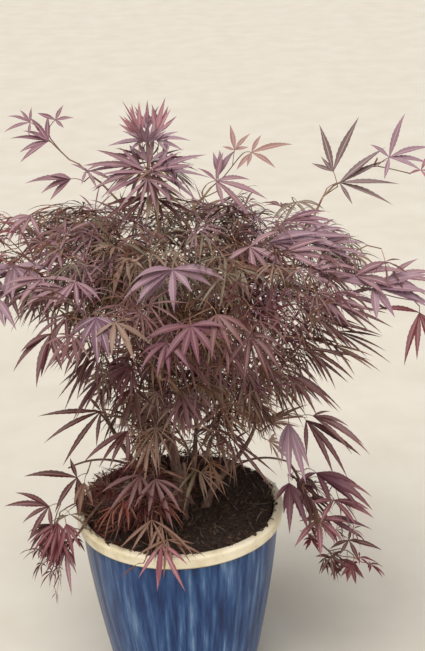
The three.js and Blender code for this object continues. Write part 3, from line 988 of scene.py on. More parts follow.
leading("spray_top", [
    ((-42, 60, 1092), "pink", 0.85, 0.0, {112: 54, 94: 60, 76: 46, 130: 44}, 0, 100),
    ((-15, 60, 1092), "pink", 0.85, 0.0, {102: 46, 80: 68, 58: 54, 36: 42}, 0, 90),
    ((-30, 78, 1094), "orchid", 0.8, 0.0, {104: 50, 84: 56, 66: 50, 124: 44}),
    ((-8, 74, 1090), "orchid", 0.85, 0.0, {66: 52, 46: 44, 90: 54, 112: 46}),
    ((-48, 74, 1086), "pink", 0.8, 0.0, {118: 50, 100: 60, 136: 40, 82: 52}),
    ((-24, 44, 1080), "lilac", 0.9, 0.0, {98: 46, 76: 46, 122: 44, 54: 42, 140: 36, 38: 36}, 0, 180),
    ((-32, 50, 1084), "lilac", 1.0, 0.1, {177: 70, 190: 50, 160: 46, 208: 38}),
    ((-14, 50, 1084), "lilac", 0.9, 0.1, {3: 66, -21: 54, 24: 44, -46: 34}),
])
leading("sprig_centre_right", [
    ((125, 60, 1058), "salmon", 1.1, 0.1, {95: 48, 50: 42, 164: 24, 20: 26}),
    ((155, 60, 1052), "salmon", 1.0, 0.3, {14: 76, 63: 38, -32: 54, 223: 44, 247: 30}),
    ((90, 40, 1008), "mauve", 1.05, 0.3, {74: 54, 5: 62, -20: 100, -43: 92, -88: 52, 142: 42}),
    ((95, 55, 1014), "lilac", 1.3, 0.3, {62: 54, 82: 46, 100: 44}),
])
leading("crown_right", [
    ((235, 60, 958), "sage", 0.7, 0.7, {213: 66, 236: 50, -60: 44, -30: 50, -8: 54}),
])
leading("sprig_right", [
    ((300, 50, 1015), "taupe", 1.05, 0.0, {103: 90, 65: 108, 160: 42, 128: 36}),
    ((310, 40, 997), "taupe", 1.0, 0.1, {36: 104, 26: 98, -2: 108, -24: 104, -62: 48}),
])
leading("sprig_far_right", [
    ((398, 40, 1040), "lilac", 1.0, 0.3, {70: 84, 20: 78, -3: 74, -25: 66, 255: 44, 140: 42}),
    ((455, 40, 1015), "pink", 0.9, 0.3, {190: 26, 60: 40, -10: 50, -60: 40}),
])
leading("crown_right", [
    ((145, -48, 912), "mauve", 1.15, 0.4, {-88: 80, 213: 62, -27: 76, -55: 60, 30: 60}),
    ((180, -30, 914), "lilac", 0.95, 0.25, {12: 100, 2: 108, -8: 104, -19: 92, 28: 78, -32: 80}),
    ((230, -20, 920), "lilac", 0.95, 0.25, {10: 86, -2: 98, -13: 98, -26: 80, 24: 64}),
    ((215, 20, 936), "orchid", 0.9, 0.3, {5: 90, -8: 90, 18: 74}),
    ((240, -80, 866), "mauve", 0.7, 0.8, {12: 110, -6: 100, -28: 84, 30: 80}),
])
leading("arm_right", [
    ((360, -60, 834), "lilac", 1.6, 0.2, {17: 102, 4: 106, -12: 114, -23: 104, -88: 64, 168: 96, -52: 68}),
    ((330, -50, 852), "mauve", 1.2, 0.4, {8: 96, -16: 92, -38: 66, 182: 80, 30: 70}),
    ((395, -20, 838), "mauve", 1.0, 0.2, {10: 86, -6: 90, -24: 76, 30: 60}),
    ((440, -80, 790), "wine", 0.9, 0.4, {248: 104, 264: 90, 285: 72, 172: 80, 305: 54}),
])
leading("arm_left", [
    ((-265, -70, 898), "lilac", 1.35, 0.4, {186: 72, 208: 76, 238: 62, 270: 66, 302: 58, 330: 78, 348: 66}),
    ((-330, -60, 890), "lilac", 1.1, 0.5, {-16: 80, -40: 84, -66: 76, 262: 70, 236: 72}),
])
leading("crown_front_left", [
    ((-210, -130, 895), "mauve", 0.9, 0.4, {200: 84, 180: 74, 222: 70, 250: 60, 350: 70}),
    ((-175, -140, 880), "mauve", 0.8, 0.4, {188: 92, 206: 86, 228: 70, 170: 60}),
])
leading("arm_left", [
    ((-282, -60, 851), "mauve", 0.9, 0.4, {210: 66, 236: 70, 262: 66, 290: 60, 320: 60, 176: 50}),
    ((-240, -80, 860), "dusk", 0.8, 0.4, {225: 70, 250: 66, 280: 60, 310: 66, 196: 60}),
    ((-300, -95, 852), "lilac", 1.2, 0.5, {-55: 78, -75: 60, 200: 60, 235: 66, 262: 60}),
    ((-215, -90, 850), "plum", 0.5, 0.6, {-84: 68, -97: 58, 250: 60, 228: 70}),
])
leading("crown_left", [
    ((-245, 40, 955), "mauve", 1.0, 0.5, {255: 60, 222: 56, 285: 46, 195: 48}),
    ((-165, -40, 905), "dusk", 0.7, 0.6, {200: 86, 180: 70, 225: 80, 330: 60}),
])
leading("crown_top", [
    ((11, -150, 911), "lilac", 1.3, 0.5,
     {208: 104, 217: 92, 232: 66, -82: 80, -6: 96, -28: 76, 190: 74, -50: 56}),
])
leading("crown_front", [
    ((40, -255, 850), "damson", 1.1, 0.5, {195: 84, 225: 78, 250: 72, 278: 70, 305: 74, 335: 80, 355: 60}),
    ((0, -270, 828), "damson", 0.9, 0.6, {252: 66, 278: 60, 225: 70, 310: 64, 200: 56}),
    ((82, -240, 862), "dusk", 0.8, 0.7, {262: 84, 285: 74, 310: 80, 335: 70, 235: 60}),
])
leading("crown_front_right", [
    ((135, -240, 822), "plum", 0.8, 0.7, {235: 84, 262: 80, 290: 84, 318: 88, 345: 70}),
])
leading("crown_front_left", [
    ((-114, -240, 864), "violet", 1.4, 0.35, {264: 84, 284: 76, 308: 66, 242: 66, 216: 54, 340: 50}),
    ((-150, -180, 905), "orchid", 0.8, 0.5, {270: 54, 246: 50, 300: 52, 222: 60, 330: 60}),
    ((-195, -200, 822), "plum", 1.0, 0.5, {227: 92, 247: 98, 208: 62, -85: 70, -50: 68, 262: 78}),
    ((-172, -160, 837), "plum", 0.7, 0.5, {214: 76, 232: 84, 252: 76, 274: 62, 196: 60}),
    ((-144, -170, 800), "dusk", 0.6, 0.4, {222: 80, 238: 76, 256: 66, 206: 64}),
])
leading("mid_left", [
    ((-125, -150, 755), "plum", 0.6, 0.5, {228: 88, 236: 76, 217: 70, 250: 66, 270: 60}),
])
leading("low_left", [
    ((-125, -150, 652), "maroon", 0.75, 0.3, {178: 112, 203: 116, 228: 118, 258: 66, 130: 38}),
    ((-80, -160, 617), "plum", 0.9, 0.4, {210: 98, 247: 76, 272: 60, 228: 84}),
])
leading("rim_left", [
    ((-185, -70, 480), "maroon", 1.05, 0.3, {172: 100, 118: 40, 230: 78, 272: 78, 290: 52}),
    ((-240, -80, 427), "plum", 1.0, 0.4, {155: 70, 178: 84, 240: 74, 205: 60, 280: 50}),
    ((-170, -90, 480), "bronze", 0.9, 0.6, {265: 64, 245: 50, 285: 50}),
])
leading("hanging_left", [
    ((-225, -92, 398), "wine", 0.8, 0.3, {206: 66, 224: 76, 243: 80, 262: 76, 282: 70, 302: 50}),
    ((-241, -84, 392), "maroon", 0.8, 0.4, {192: 44, 212: 54, 232: 66, 250: 70, 268: 60}),
    ((-209, -96, 398), "wine", 0.8, 0.3, {252: 62, 268: 74, 284: 72, 300: 56, 322: 40}),
    ((-221, -104, 377), "wine", 0.8, 0.3, {200: 52, 222: 60, 246: 66, 270: 60, 296: 60}),
    ((-238, -92, 362), "wine", 0.8, 0.3, {216: 40, 238: 48, 260: 52, 284: 48, 310: 44}),
    ((-213, -92, 344), "wine", 0.8, 0.3, {226: 50, 250: 52, 276: 50, 300: 40}),
    ((-214, -96, 353), "mauve", 0.75, 0.2, {274: 96, 262: 50, 288: 60}),
    ((-200, -98, 418), "olive", 0.6, 0.7, {-8: 46, -35: 44, 200: 36}),
])
leading("spray_soil", [
    ((-65, -120, 508), "dusk", 0.7, 0.5, {202: 80, 226: 92, 252: 76, -82: 56, 300: 60}),
    ((-38, -130, 503), "dusk", 0.75, 0.5, {-72: 100, -105: 70, -50: 80, 225: 66, -20: 60}),
    ((40, -70, 492), "olive", 0.6, 0.5, {250: 92, 235: 70, 275: 66}),
])
leading("spray_front", [
    ((-45, -185, 452), "bronze", 0.5, 0.4, {216: 80, 234: 74, 262: 60, 300: 66, 325: 70}),
    ((-28, -190, 446), "bronze", 0.5, 0.3, {228: 76, 318: 92, 305: 88, 278: 56, 248: 70}),
    ((-28, -212, 418), "rose", 0.75, 0.3, {232: 74, 254: 84, 276: 76, 294: 96, 318: 60}),
    ((-18, -208, 424), "bronze", 0.55, 0.3, {205: 66, 222: 60, 266: 70, 286: 64, 338: 76, 350: 50}),
])
leading("mid_right", [
    ((205, -120, 602), "lilac", 1.0, 0.4, {-97: 112, -83: 116, -64: 92, 250: 60, -110: 76}),
])
leading("low_right", [
    ((237, -110, 602), "plum", 0.8, 0.4, {-54: 128, -66: 112, -41: 118, -30: 92, -90: 66}),
    ((248, -120, 615), "dusk", 0.7, 0.4, {-38: 126, -27: 108, 18: 34, -50: 100, -14: 70}),
])
leading("mid_right", [
    ((205, -140, 705), "plum", 0.7, 0.4, {-42: 112, -52: 94, -30: 80, -100: 52, -75: 60}),
    ((240, -110, 740), "maroon", 0.6, 0.4, {-30: 100, -45: 90, -15: 84, -60: 70}),
])
leading("low_front", [
    ((105, -120, 572), "maroon", 0.45, 0.15, {-55: 122, -34: 102, -80: 70, 200: 50, 28: 40}),
])
leading("mid_right", [
    ((295, -60, 752), "maroon", 0.45, 0.2, {-26: 116, -9: 84, -19: 98, -42: 74}),
    ((235, -80, 727), "plum", 0.5, 0.2, {-8: 124, -40: 102, -31: 74, -60: 70}),
    ((270, -60, 772), "plum", 0.5, 0.2, {-3: 112, -16: 84, -44: 78, -54: 56}),
    ((215, -110, 700), "maroon", 0.45, 0.15, {-36: 112, -44: 98, -52: 86, -68: 70}),
])
leading("mid_left", [
    ((-130, -150, 778), "maroon", 0.5, 0.2, {232: 84, 241: 98, 222: 70, 252: 80}),
    ((-145, -120, 732), "maroon", 0.5, 0.2, {228: 84, 238: 98, 218: 66, 250: 72}),
    ((-120, -140, 715), "plum", 0.5, 0.2, {226: 98, 235: 92, 246: 80, 212: 60}),
])
leading("mid_front", [
    ((45, -160, 690), "mauve", 0.6, 0.3, {215: 70, 226: 64, 262: 52, 300: 58}),
])
leading("mid_right", [
    ((300, -60, 800), "dusk", 0.5, 0.2, {-18: 104, -30: 92, -6: 88, -44: 76}),
    ((285, -80, 735), "bronze", 0.5, 0.2, {-24: 100, -38: 88, -52: 72, -12: 80}),
])
leading("crown_right", [
    ((200, -50, 900), "mauve", 0.9, 0.3, {6: 96, -10: 104, -24: 92, 20: 84}),
    ((265, -30, 905), "lilac", 0.9, 0.3, {4: 84, -12: 92, -28: 80, 18: 70}),
    ((268, -80, 824), "mauve", 0.75, 0.4, {-14: 96, -30: 92, -46: 80, 4: 84, -62: 66}),
])
leading("mid_right", [
    ((263, -60, 778), "dusk", 0.6, 0.3, {-18: 92, -34: 88, -50: 76, -4: 80}),
    ((230, -70, 745), "bronze", 0.6, 0.3, {-22: 96, -36: 90, -10: 84, -52: 70}),
])
leading("arm_right", [
    ((313, -40, 811), "mauve", 0.8, 0.4, {-10: 80, -30: 80, -50: 66, 12: 64}),
])
leading("mid_right", [
    ((236, -60, 817), "dusk", 0.5, 0.3, {-30: 84, -48: 80, -66: 70, -12: 80}),
    ((278, -50, 816), "damson", 0.5, 0.3, {-58: 70, -78: 62, -38: 72, -20: 70}),
])
leading("rim_right", [
    ((209, -50, 443), "damson", 1.1, 0.4, {-93: 98, -79: 100, 228: 46, -54: 70, -66: 80, -108: 60}),
    ((225, -30, 438), "plum", 1.0, 0.4, {-60: 66, -42: 70, -84: 60, -25: 50}),
    ((259, -60, 468), "damson", 1.15, 0.5, {-24: 128, -44: 112, -33: 100, -12: 84, -62: 70, 200: 40}),
    ((272, -30, 440), "rose", 0.9, 0.5, {-14: 104, -30: 96, -48: 80, -2: 70}),
    ((292, -60, 409), "rose", 1.0, 0.4, {-10: 70, -28: 84, -50: 66, 190: 50, 222: 54}),
    ((253, -40, 399), "bronze", 0.9, 0.4, {258: 60, 275: 66, 292: 50, 180: 40}),
    ((262, -60, 369), "rose", 1.05, 0.3, {227: 72, 264: 76, 180: 38, -53: 58, 6: 62, -34: 66}),
    ((279, -40, 362), "damson", 0.85, 0.3, {-16: 92, -28: 80, -6: 60, -70: 60}),
])
leading("hanging_right", [
    ((321, -60, 321), "maroon", 0.95, 0.3, {190: 42, 83: 24, 5: 26, -72: 46, -13: 66, 230: 34}),
    ((287, -60, 285), "maroon", 1.0, 0.3, {165: 32, 225: 38, -82: 46, -40: 38, 25: 30}),
    ((320, -40, 267), "wine", 1.0, 0.3, {200: 44, 230: 40, 262: 44, 290: 40, -40: 36}),
    ((327, -60, 264), "wine", 1.1, 0.3, {215: 30, 250: 34, 280: 36, 310: 34, 180: 28}),
])


def lobe_ways(lead):
    """The directions of a leading leaf's lobes. The fan leans back, so its low lobes come forward."""
    angles = np.radians(list(lead.fan))
    ways = np.stack([np.cos(angles), 0.55 * np.sin(angles) - LEAD_LEAN, 0.85 * np.sin(angles)], axis=-1)
    return spun(unit(ways), lead.turn)


lead_feet = []
for lead in leads:
    back = unit(-unit(lobe_ways(lead).mean(axis=0)) + spun(np.array([0, 0.5, -0.7]), lead.turn))
    lead_feet.append(grow_twig(lead.hub + back * LEAD_STALK, -back))

twig_at, twig_from = np.array(twig_at), np.array(twig_from)
twig_radius = np.zeros(len(twig_at))
for i in range(len(twig_at) - 1, -1, -1):
    twig_radius[i] = max(twig_radius[i] ** (1 / TWIG_POWER), twig_least[i])
    if twig_from[i] >= 0:
        twig_radius[twig_from[i]] += twig_radius[i] ** TWIG_POWER
twig_radius = np.minimum(twig_radius, TWIG_MOST)


def rings(along, aside, sides):
    """Rings of directions square to others. aside is a direction that none of those has."""
    side = unit(np.cross(along, aside))
    other = np.cross(along, side)
    turn = np.arange(sides) * 2 * math.pi / sides
    return np.cos(turn)[:, None] * side[..., None, :] + np.sin(turn)[:, None] * other[..., None, :]


def twig_mesh(name, bears):
    """The twigs that bear leaves, as one mesh with two rings for each length between joints."""
    drawn = np.flatnonzero(~np.array(twig_bark) & (twig_from >= 0) & bears)
    start, end = twig_at[twig_from[drawn]], twig_at[drawn]
    along = unit(end - start)
    ring = rings(along, (0.37, 0.2, 0.91), TWIG_SIDES)
    thick = np.minimum(twig_radius[twig_from[drawn]], twig_radius[drawn] * 1.25)
    foot = start[:, None] + ring * thick[:, None, None]
    tip = (end + along * TWIG_LAP)[:, None] + ring * twig_radius[drawn][:, None, None]
    points = np.concatenate([foot, tip], axis=1).reshape(-1, 3)
    first = np.arange(len(drawn))[:, None] * 2 * TWIG_SIDES
    ends = first + TWIG_SIDES + np.arange(TWIG_SIDES)
    return mesh_piece(name, points, [ring_quads(first, TWIG_SIDES), ends], [young_bark()])


def young_bark():
    stops = [(0.36, srgb(88, 56, 50)), (0.5, srgb(120, 84, 68)), (0.66, srgb(150, 122, 94))]
    return mottled("young_bark", 0.55, (34, 4, 0.6), stops)


# ---- Leaves ----
# Palmate leaves of five to nine long, narrow, finely pointed lobes, folded along the midrib and
# bowed down by their weight. They stand in opposite pairs on thin red stalks at the twigs' ends.
LOBE = 0.082            # the middle lobe of a full leaf
LOBE_WIDTH = 0.0100
FINE_WIDTH = 0.46       # of that width, in thread-like lobes
FULL_WIDTH = 0.8        # and in the others
LEAF_STALK = 0.032
STALK_SIDES = 3
STALK_RADIUS = 0.0008
STATIONS = np.array([0.0, 0.13, 0.3, 0.48, 0.66, 0.84, 1.0])
OUTLINE = np.array([0.12, 0.42, 0.88, 1.0, 0.72, 0.33, 0.0])
ACROSS = np.array([1, 0, -1])      # the edges and the midrib, of half the width
TEETH = np.arange(2, 10) / 10      # where the leading leaves' teeth are, along the lobe
NOTCHES = TEETH + 0.022
LEAD_STATIONS = np.sort(np.concatenate([[0.0, 0.1], TEETH, NOTCHES, [1.0]]))
LEAD_OUTLINE = np.interp(LEAD_STATIONS, STATIONS, OUTLINE)
LEAD_OUTLINE[np.isin(LEAD_STATIONS, NOTCHES)] *= 0.87
LEAD_ACROSS = np.array([1, 0.13, -0.13, -1])      # theirs show the midrib as a pale band
LEAD_MIDDLE = 9                    # the station halfway along their lobes
LEAD_FULL = 82                     # the length in mm of their lobes of full width
LEAD_WIDTH = 1.25
# The places just outside a leading leaf of the crown, and how far round them no other leaf ends.
LEAD_CLEAR = ((0.0, -0.035, 0.03), (0.0, -0.075, 0.045))
LEAD_ROOM = 0.04
DARK_TINTS = ("damson", "dusk", "plum", "maroon", "bronze", "olive", "wine", "russet")
FANS = {
    5: ((0, -44, 44, -98, 98), (1, 0.86, 0.86, 0.52, 0.52)),
    7: ((0, -35, 35, -72, 72, -118, 118), (1, 0.93, 0.93, 0.74, 0.74, 0.44, 0.44)),
    9: ((0, -30, 30, -60, 60, -94, 94, -134, 134), (1, 0.95, 0.95, 0.84, 0.84, 0.62, 0.62, 0.36, 0.36)),
}
TINTS = {
    "lilac": srgb(139, 108, 121),
    "mauve": srgb(133, 96, 104),
    "dusk": srgb(112, 75, 75),
    "plum": srgb(88, 46, 49),
    "maroon": srgb(74, 33, 28),
    "bronze": srgb(108, 74, 54),
    "tan": srgb(134, 106, 90),
    "olive": srgb(102, 88, 60),
    "sage": srgb(115, 101, 83),
    "orchid": srgb(126, 86, 99),
    "damson": srgb(104, 58, 71),
    "pink": srgb(160, 106, 114),
    "salmon": srgb(150, 112, 102),
    "rose": srgb(134, 77, 84),
    "wine": srgb(104, 42, 50),
    "russet": srgb(118, 62, 46),
    "violet": srgb(110, 78, 94),
    "taupe": srgb(110, 90, 88),
    "fawn": srgb(168, 132, 114),
    "rib": srgb(168, 136, 136),
    "dark_rib": srgb(126, 88, 78),
}
TINT_NAMES = list(TINTS)
# The share of sprays in each tint, by the colour of the mass or its name: in the light, then within.
# The tints in the light are lighter and those within darker, which paints the light on the foliage's top
# and outside and the shade inside it, along with the leaves' own colour. The low body's tints within are
# lightened to make up for the shade of the body above them: painted light.
DEALS = {
    "leaves_mauve": (dict(lilac=3, mauve=4, dusk=4, tan=1, sage=1),
                     dict(dusk=3, plum=4, maroon=3, bronze=3, damson=1)),
    "leaves_plum": (dict(mauve=3, dusk=4, plum=2, bronze=2), dict(dusk=3, plum=4, maroon=3, bronze=3, tan=1)),
    "leaves_bronze": (dict(tan=3, mauve=3, dusk=3, sage=4, bronze=2),
                      dict(bronze=5, olive=2, maroon=2, russet=2)),
    "leaves_pink": (dict(pink=6, rose=3, lilac=2), dict(rose=3, dusk=2, mauve=2)),
    "leaves_wine": (dict(wine=6, rose=2, maroon=3), dict(wine=5, maroon=4, plum=1)),
    "spray_soil": (dict(russet=1, wine=3, maroon=4), dict(maroon=5, russet=1, wine=2)),
    "low_front": (dict(dusk=2, tan=3, rose=2), dict(mauve=2, fawn=5, tan=4, dusk=2, salmon=3, bronze=1)),
    "low_back": (dict(dusk=2, bronze=2, rose=2),
                 dict(mauve=2, fawn=4, tan=4, dusk=2, salmon=2, russet=1, bronze=1)),
    "mid_right": (dict(mauve=3, dusk=3, tan=2), dict(dusk=4, bronze=3, plum=2, rose=1, tan=3, maroon=2)),
    "mid_left": (dict(mauve=3, dusk=3, tan=2), dict(dusk=3, bronze=3, plum=3, rose=1, tan=3, maroon=2)),
    "mid_front": (dict(mauve=3, dusk=3, damson=2),
                  dict(dusk=3, bronze=3, plum=3, damson=1, maroon=2, tan=3, fawn=1)),
    "crown_left": (dict(bronze=5, rose=3, dusk=4, mauve=2, russet=2, tan=1),
                   dict(bronze=4, russet=3, maroon=3)),
}
LIT_FROM = 0.845        # the height above which the body's leaves are in the light
deal = np.random.default_rng(23)
leaf_materials = [new_material("leaf_" + name, 0.45, Specular_IOR_Level=0.45, Base_Color=tint)[0]
                  for name, tint in TINTS.items()]


def deal_tint(mass, light):
    shares = DEALS.get(mass, DEALS[mass_slot[mass]])[0 if light else 1]
    weights = np.array(list(shares.values()), float)
    return TINT_NAMES.index(deal.choice(list(shares), p=weights / weights.sum()))


Leaf = namedtuple("Leaf", "mass foot way size hang lobes width tint gather joint")
leaves = []


def spray_leaves(mass, joint, way):
    """Opposite pairs of leaves at a twig's end and at the joints before it."""
    manner = habit(mass)
    middle, half = mass_shape(mass)
    out = (twig_at[joint] - middle) / half
    # Sprays high up or at the outside of their mass count as in the light and are dealt the lighter tints:
    # painted light and shade.
    light = 0.9 * out[2] + 0.3 * out @ outward(twig_at[joint]) + deal.normal(0, 0.3) > 0.2
    if mass.startswith(BODY):
        light = twig_at[joint][2] + 0.2 * twig_at[joint][1] + deal.normal(0, 0.025) > LIT_FROM
    tint = deal_tint(mass, light)
    fine = deal.random() < manner["fine"]
    along = unit(way)
    side = unit(np.cross(along, unit(deal.standard_normal(3))))
    other = np.cross(along, side)
    places, at = [], joint
    for _ in range(int(deal.choice([1, 2, 3], p=[0.3, 0.5, 0.2]))):
        places += [at, at]
        at = max(twig_from[at], 0)
    turn = deal.random() * math.pi
    for i, place in enumerate(places):
        a = turn + math.pi * (i % 2) + 0.5 * math.pi * (i // 2) + deal.normal(0, 0.25)
        stalk = unit(0.6 * along + 0.75 * (math.cos(a) * side + math.sin(a) * other) + (0, 0, 0.1))
        size = manner["size"] * deal.uniform(0.74, 1.12)
        hang = manner["hang"] * deal.uniform(0.6, 1.4)
        lobes = int(deal.choice([5, 7, 9], p=[0.3, 0.5, 0.2]))
        width = (FINE_WIDTH if fine else FULL_WIDTH) * deal.uniform(0.8, 1.2)
        own_tint = tint if deal.random() < 0.8 else deal_tint(mass, light)
        leaves.append(Leaf(mass, twig_at[place], stalk, size, hang, lobes, width, own_tint,
                           manner["gather"], place))


for mass, joint, way in sprays:
    spray_leaves(mass, joint, way)


def bent(start, way, length, pull, steps):
    """Points along thin stalks that start in a direction and are pulled down."""
    points, at, heading = [start], start, way
    for _ in range(steps):
        heading = unit(heading + np.array([0, 0, -1.0]) * pull[:, None])
        at = at + heading * (length / steps)[:, None]
        points.append(at)
    return np.stack(points, axis=1), heading


def column(rows, part):
    """One part of each leaf, as an array."""
    return np.array([getattr(row, part) for row in rows])


def spread_lobes():
    """The stalks of all the leaves, and for each lobe its leaf and the numbers that shape it."""
    size, hang = column(leaves, "size"), column(leaves, "hang")
    count = len(leaves)
    stalks, heading = bent(column(leaves, "foot"), column(leaves, "way"),
                           LEAF_STALK * size * deal.uniform(0.6, 1.2, count), 0.06 + 0.16 * hang, 3)
    away = outward(stalks[:, -1])
    middle = unit(0.8 * heading + 0.55 * away - np.array([0, 0, 1]) * (0.1 + 0.4 * hang[:, None])
                  + 0.14 * deal.standard_normal((count, 3)))
    up = np.array([0, 0, 1.0]) + 0.3 * deal.standard_normal((count, 3)) + 0.35 * away
    normal = unit(up - middle * (up * middle).sum(axis=1, keepdims=True))
    fans = [FANS[row.lobes] for row in leaves]
    leaf = np.repeat(np.arange(count), [len(f[0]) for f in fans])
    ratio = np.concatenate([f[1] for f in fans])
    angle = np.concatenate([f[0] for f in fans]) * column(leaves, "gather")[leaf]
    angle = np.radians(angle + deal.normal(0, 6, len(leaf)))[:, None]
    across = np.cross(normal, middle)
    start = np.cos(angle) * middle[leaf] + np.sin(angle) * across[leaf]
    start = unit(start + normal[leaf] * deal.normal(0.04, 0.1, (len(leaf), 1)))
    width = column(leaves, "width")[leaf] * np.sqrt(size[leaf] * ratio)
    return stalks, leaf, dict(
        hub=stalks[leaf, -1], start=start, normal=normal[leaf],
        width=width * deal.uniform(0.8, 1.2, len(leaf)),
        reach=LOBE * size[leaf] * ratio * deal.uniform(0.84, 1.12, len(leaf)),
        sag=hang[leaf] * deal.uniform(0.7, 1.3, len(leaf)))


def lead_lobes():
    """The same for the leading leaves."""
    stalks, leaf, rows = [], [], []
    for i, lead in enumerate(leads):
        foot = twig_at[lead_feet[i]]
        bow = (foot + lead.hub) / 2 + (0, 0, 0.004)
        stalks.append([foot, foot * 0.4 + bow * 0.6, lead.hub * 0.4 + bow * 0.6, lead.hub])
        ways = lobe_ways(lead) + deal.normal(0, 0.06, (len(lead.fan), 3))
        side = spun(ways, -lead.turn)[:, 0].mean()
        normal = spun(unit(np.array([0.25 * side, -0.6, 0.8]) + 0.1 * deal.standard_normal(3)), lead.turn)
        for way, length in zip(ways, lead.fan.values()):
            start = unit(way + np.array([0, 0, 1]) * lead.hang * 0.55)
            width = LEAD_WIDTH * lead.width * math.sqrt(length / LEAD_FULL)
            rows.append((lead.hub, start, normal, width, length / 1000, lead.hang))
            leaf.append(i)
    parts = ("hub", "start", "normal", "width", "reach", "sag")
    return np.array(stalks), np.array(leaf), {p: np.array(one) for p, one in zip(parts, zip(*rows))}


def shape_lobes(stations, outline, across, hub, start, normal, width, reach, sag):
    """Points across each lobe at every station, from edge to edge, with the midrib in the fold between."""
    count = len(hub)
    down = np.array([0, 0, -1.0])
    spin = deal.normal(0, 0.25, (count, 1))
    fold = deal.uniform(0.25, 0.6, (count, 1))
    bend = deal.normal(0, 0.12, (count, 1))
    rows, here = [], hub
    for k, s in enumerate(stations):
        sideways = np.cross(normal, start) * bend * s
        direction = unit(start + down * (sag * 1.5 * s ** 1.4)[:, None] + sideways)
        if k:
            here = here + direction * (reach * (s - stations[k - 1]))[:, None]
        flat = unit(normal - direction * (normal * direction).sum(axis=1, keepdims=True))
        beside = np.cross(flat, direction)
        beside, flat = beside + flat * spin * s, flat - beside * spin * s
        half = (0.5 * LOBE_WIDTH * width * outline[k])[:, None]
        points = [here + beside * half * a + flat * half * fold * abs(a) for a in across]
        rows.append(np.stack(points, axis=1))
    return np.stack(rows, axis=1)


stalk_points, lobe_leaf, shapes = spread_lobes()
lead_stalks, lead_leaf, lead_shapes = lead_lobes()
fill_points = shape_lobes(STATIONS, OUTLINE, ACROSS, **shapes)
lead_points = shape_lobes(LEAD_STATIONS, LEAD_OUTLINE, LEAD_ACROSS, **lead_shapes)

tips = fill_points[:, -1, 1]
lobes = np.bincount(lobe_leaf)[:, None]
ends = np.stack([np.bincount(lobe_leaf, tips[:, i]) for i in range(3)], axis=-1) / lobes
ragged = deal.normal(0, 0.02, len(ends))
above = ends[:, 2] > underside(ends) + ragged
below = ends[:, 2] < np.interp(ends[:, 0], *TOPSIDE) - 0.25 * np.maximum(0, ends[:, 1]) + 0.5 * ragged
in_body = np.array([leaf.mass.startswith(BODY) for leaf in leaves])
cell = np.clip(((ends - np.array(cad_low)) / CELL + CELL_EDGE).astype(int), 0, np.array(covered.shape) - 1)
kept_leaf = covered[tuple(cell.T)] & (~in_body | above & below)
clear = np.array([lead_points[lead_leaf == i, LEAD_MIDDLE, 0].mean(axis=0) for i, lead in enumerate(leads)
                  if lead.mass.startswith(("crown", "arm"))])
clear = np.concatenate([clear + step for step in LEAD_CLEAR])
kept_leaf &= np.linalg.norm(ends[:, None] - clear[None], axis=2).min(axis=1) > LEAD_ROOM

room = 0.025 * (cad_high - cad_low) + Vector((0.008, 0.008, 0.008))
room_low, room_high = np.array(cad_low - room), np.array(cad_high + room)


def in_room(points):
    """Which stalks or lobes lie wholly within the room that the leaves have."""
    return ((points > room_low) & (points < room_high)).reshape(len(points), -1).all(axis=1)


kept_leaf &= in_room(stalk_points)
bears = np.zeros(len(twig_at), bool)
for joint in [leaf.joint for leaf, kept in zip(leaves, kept_leaf) if kept] + lead_feet + leader_ends:
    while joint >= 0 and not bears[joint]:
        bears[joint] = True
        joint = twig_from[joint]
twigs = twig_mesh("twigs", bears)


def lobe_faces(points, tints):
    """Quads between the stations of lobes, triangles at their tips, and the tint of each. tints has one
    for each face across a lobe."""
    number, stations, columns = points.shape[:3]
    base = np.arange(number)[:, None, None] * stations * columns
    column = np.arange(columns - 1)[None, None, :]
    corner = base + np.arange(stations - 2)[None, :, None] * columns + column
    quads = np.stack([corner, corner + 1, corner + columns + 1, corner + columns], axis=-1).reshape(-1, 4)
    last = base + (stations - 2) * columns + column
    tris = np.stack([last, last + 1, base + (stations - 1) * columns + 0 * column], axis=-1).reshape(-1, 3)
    return quads, tris, np.repeat(tints[:, None], stations - 2, axis=1).ravel(), tints.ravel()


fill_tint = column(leaves, "tint")[lobe_leaf]
lead_tint = np.array([TINT_NAMES.index(lead.tint) for lead in leads])[lead_leaf]
ribs_of_leads = ["dark_rib" if lead.tint in DARK_TINTS else "rib" for lead in leads]
rib_tint = np.array([TINT_NAMES.index(name) for name in ribs_of_leads])[lead_leaf]
lobe_kinds = [
    (fill_points, column(leaves, "mass")[lobe_leaf], kept_leaf[lobe_leaf] & in_room(fill_points),
     np.stack([fill_tint, fill_tint], axis=-1)),
    (lead_points, column(leads, "mass")[lead_leaf], in_room(lead_points),
     np.stack([lead_tint, rib_tint, lead_tint], axis=-1)),
]
for mass in masses:
    corners, quads, tris, quad_tints, tri_tints, count = [], [], [], [], [], 0
    for points, mass_names, kept, tints in lobe_kinds:
        mine = np.flatnonzero((mass_names == mass) & kept)
        made = lobe_faces(points[mine], tints[mine])
        quads.append(made[0] + count)
        tris.append(made[1] + count)
        quad_tints.append(made[2])
        tri_tints.append(made[3])
        corners.append(points[mine].reshape(-1, 3))
        count += len(corners[-1])
    used, which = np.unique(np.concatenate(quad_tints + tri_tints), return_inverse=True)
    faces = [np.concatenate(quads), np.concatenate(tris)]
    materials = [leaf_materials[t] for t in used]
    made = mesh_piece("leaves_" + mass, np.concatenate(corners), faces, materials, which)
    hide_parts(mass)


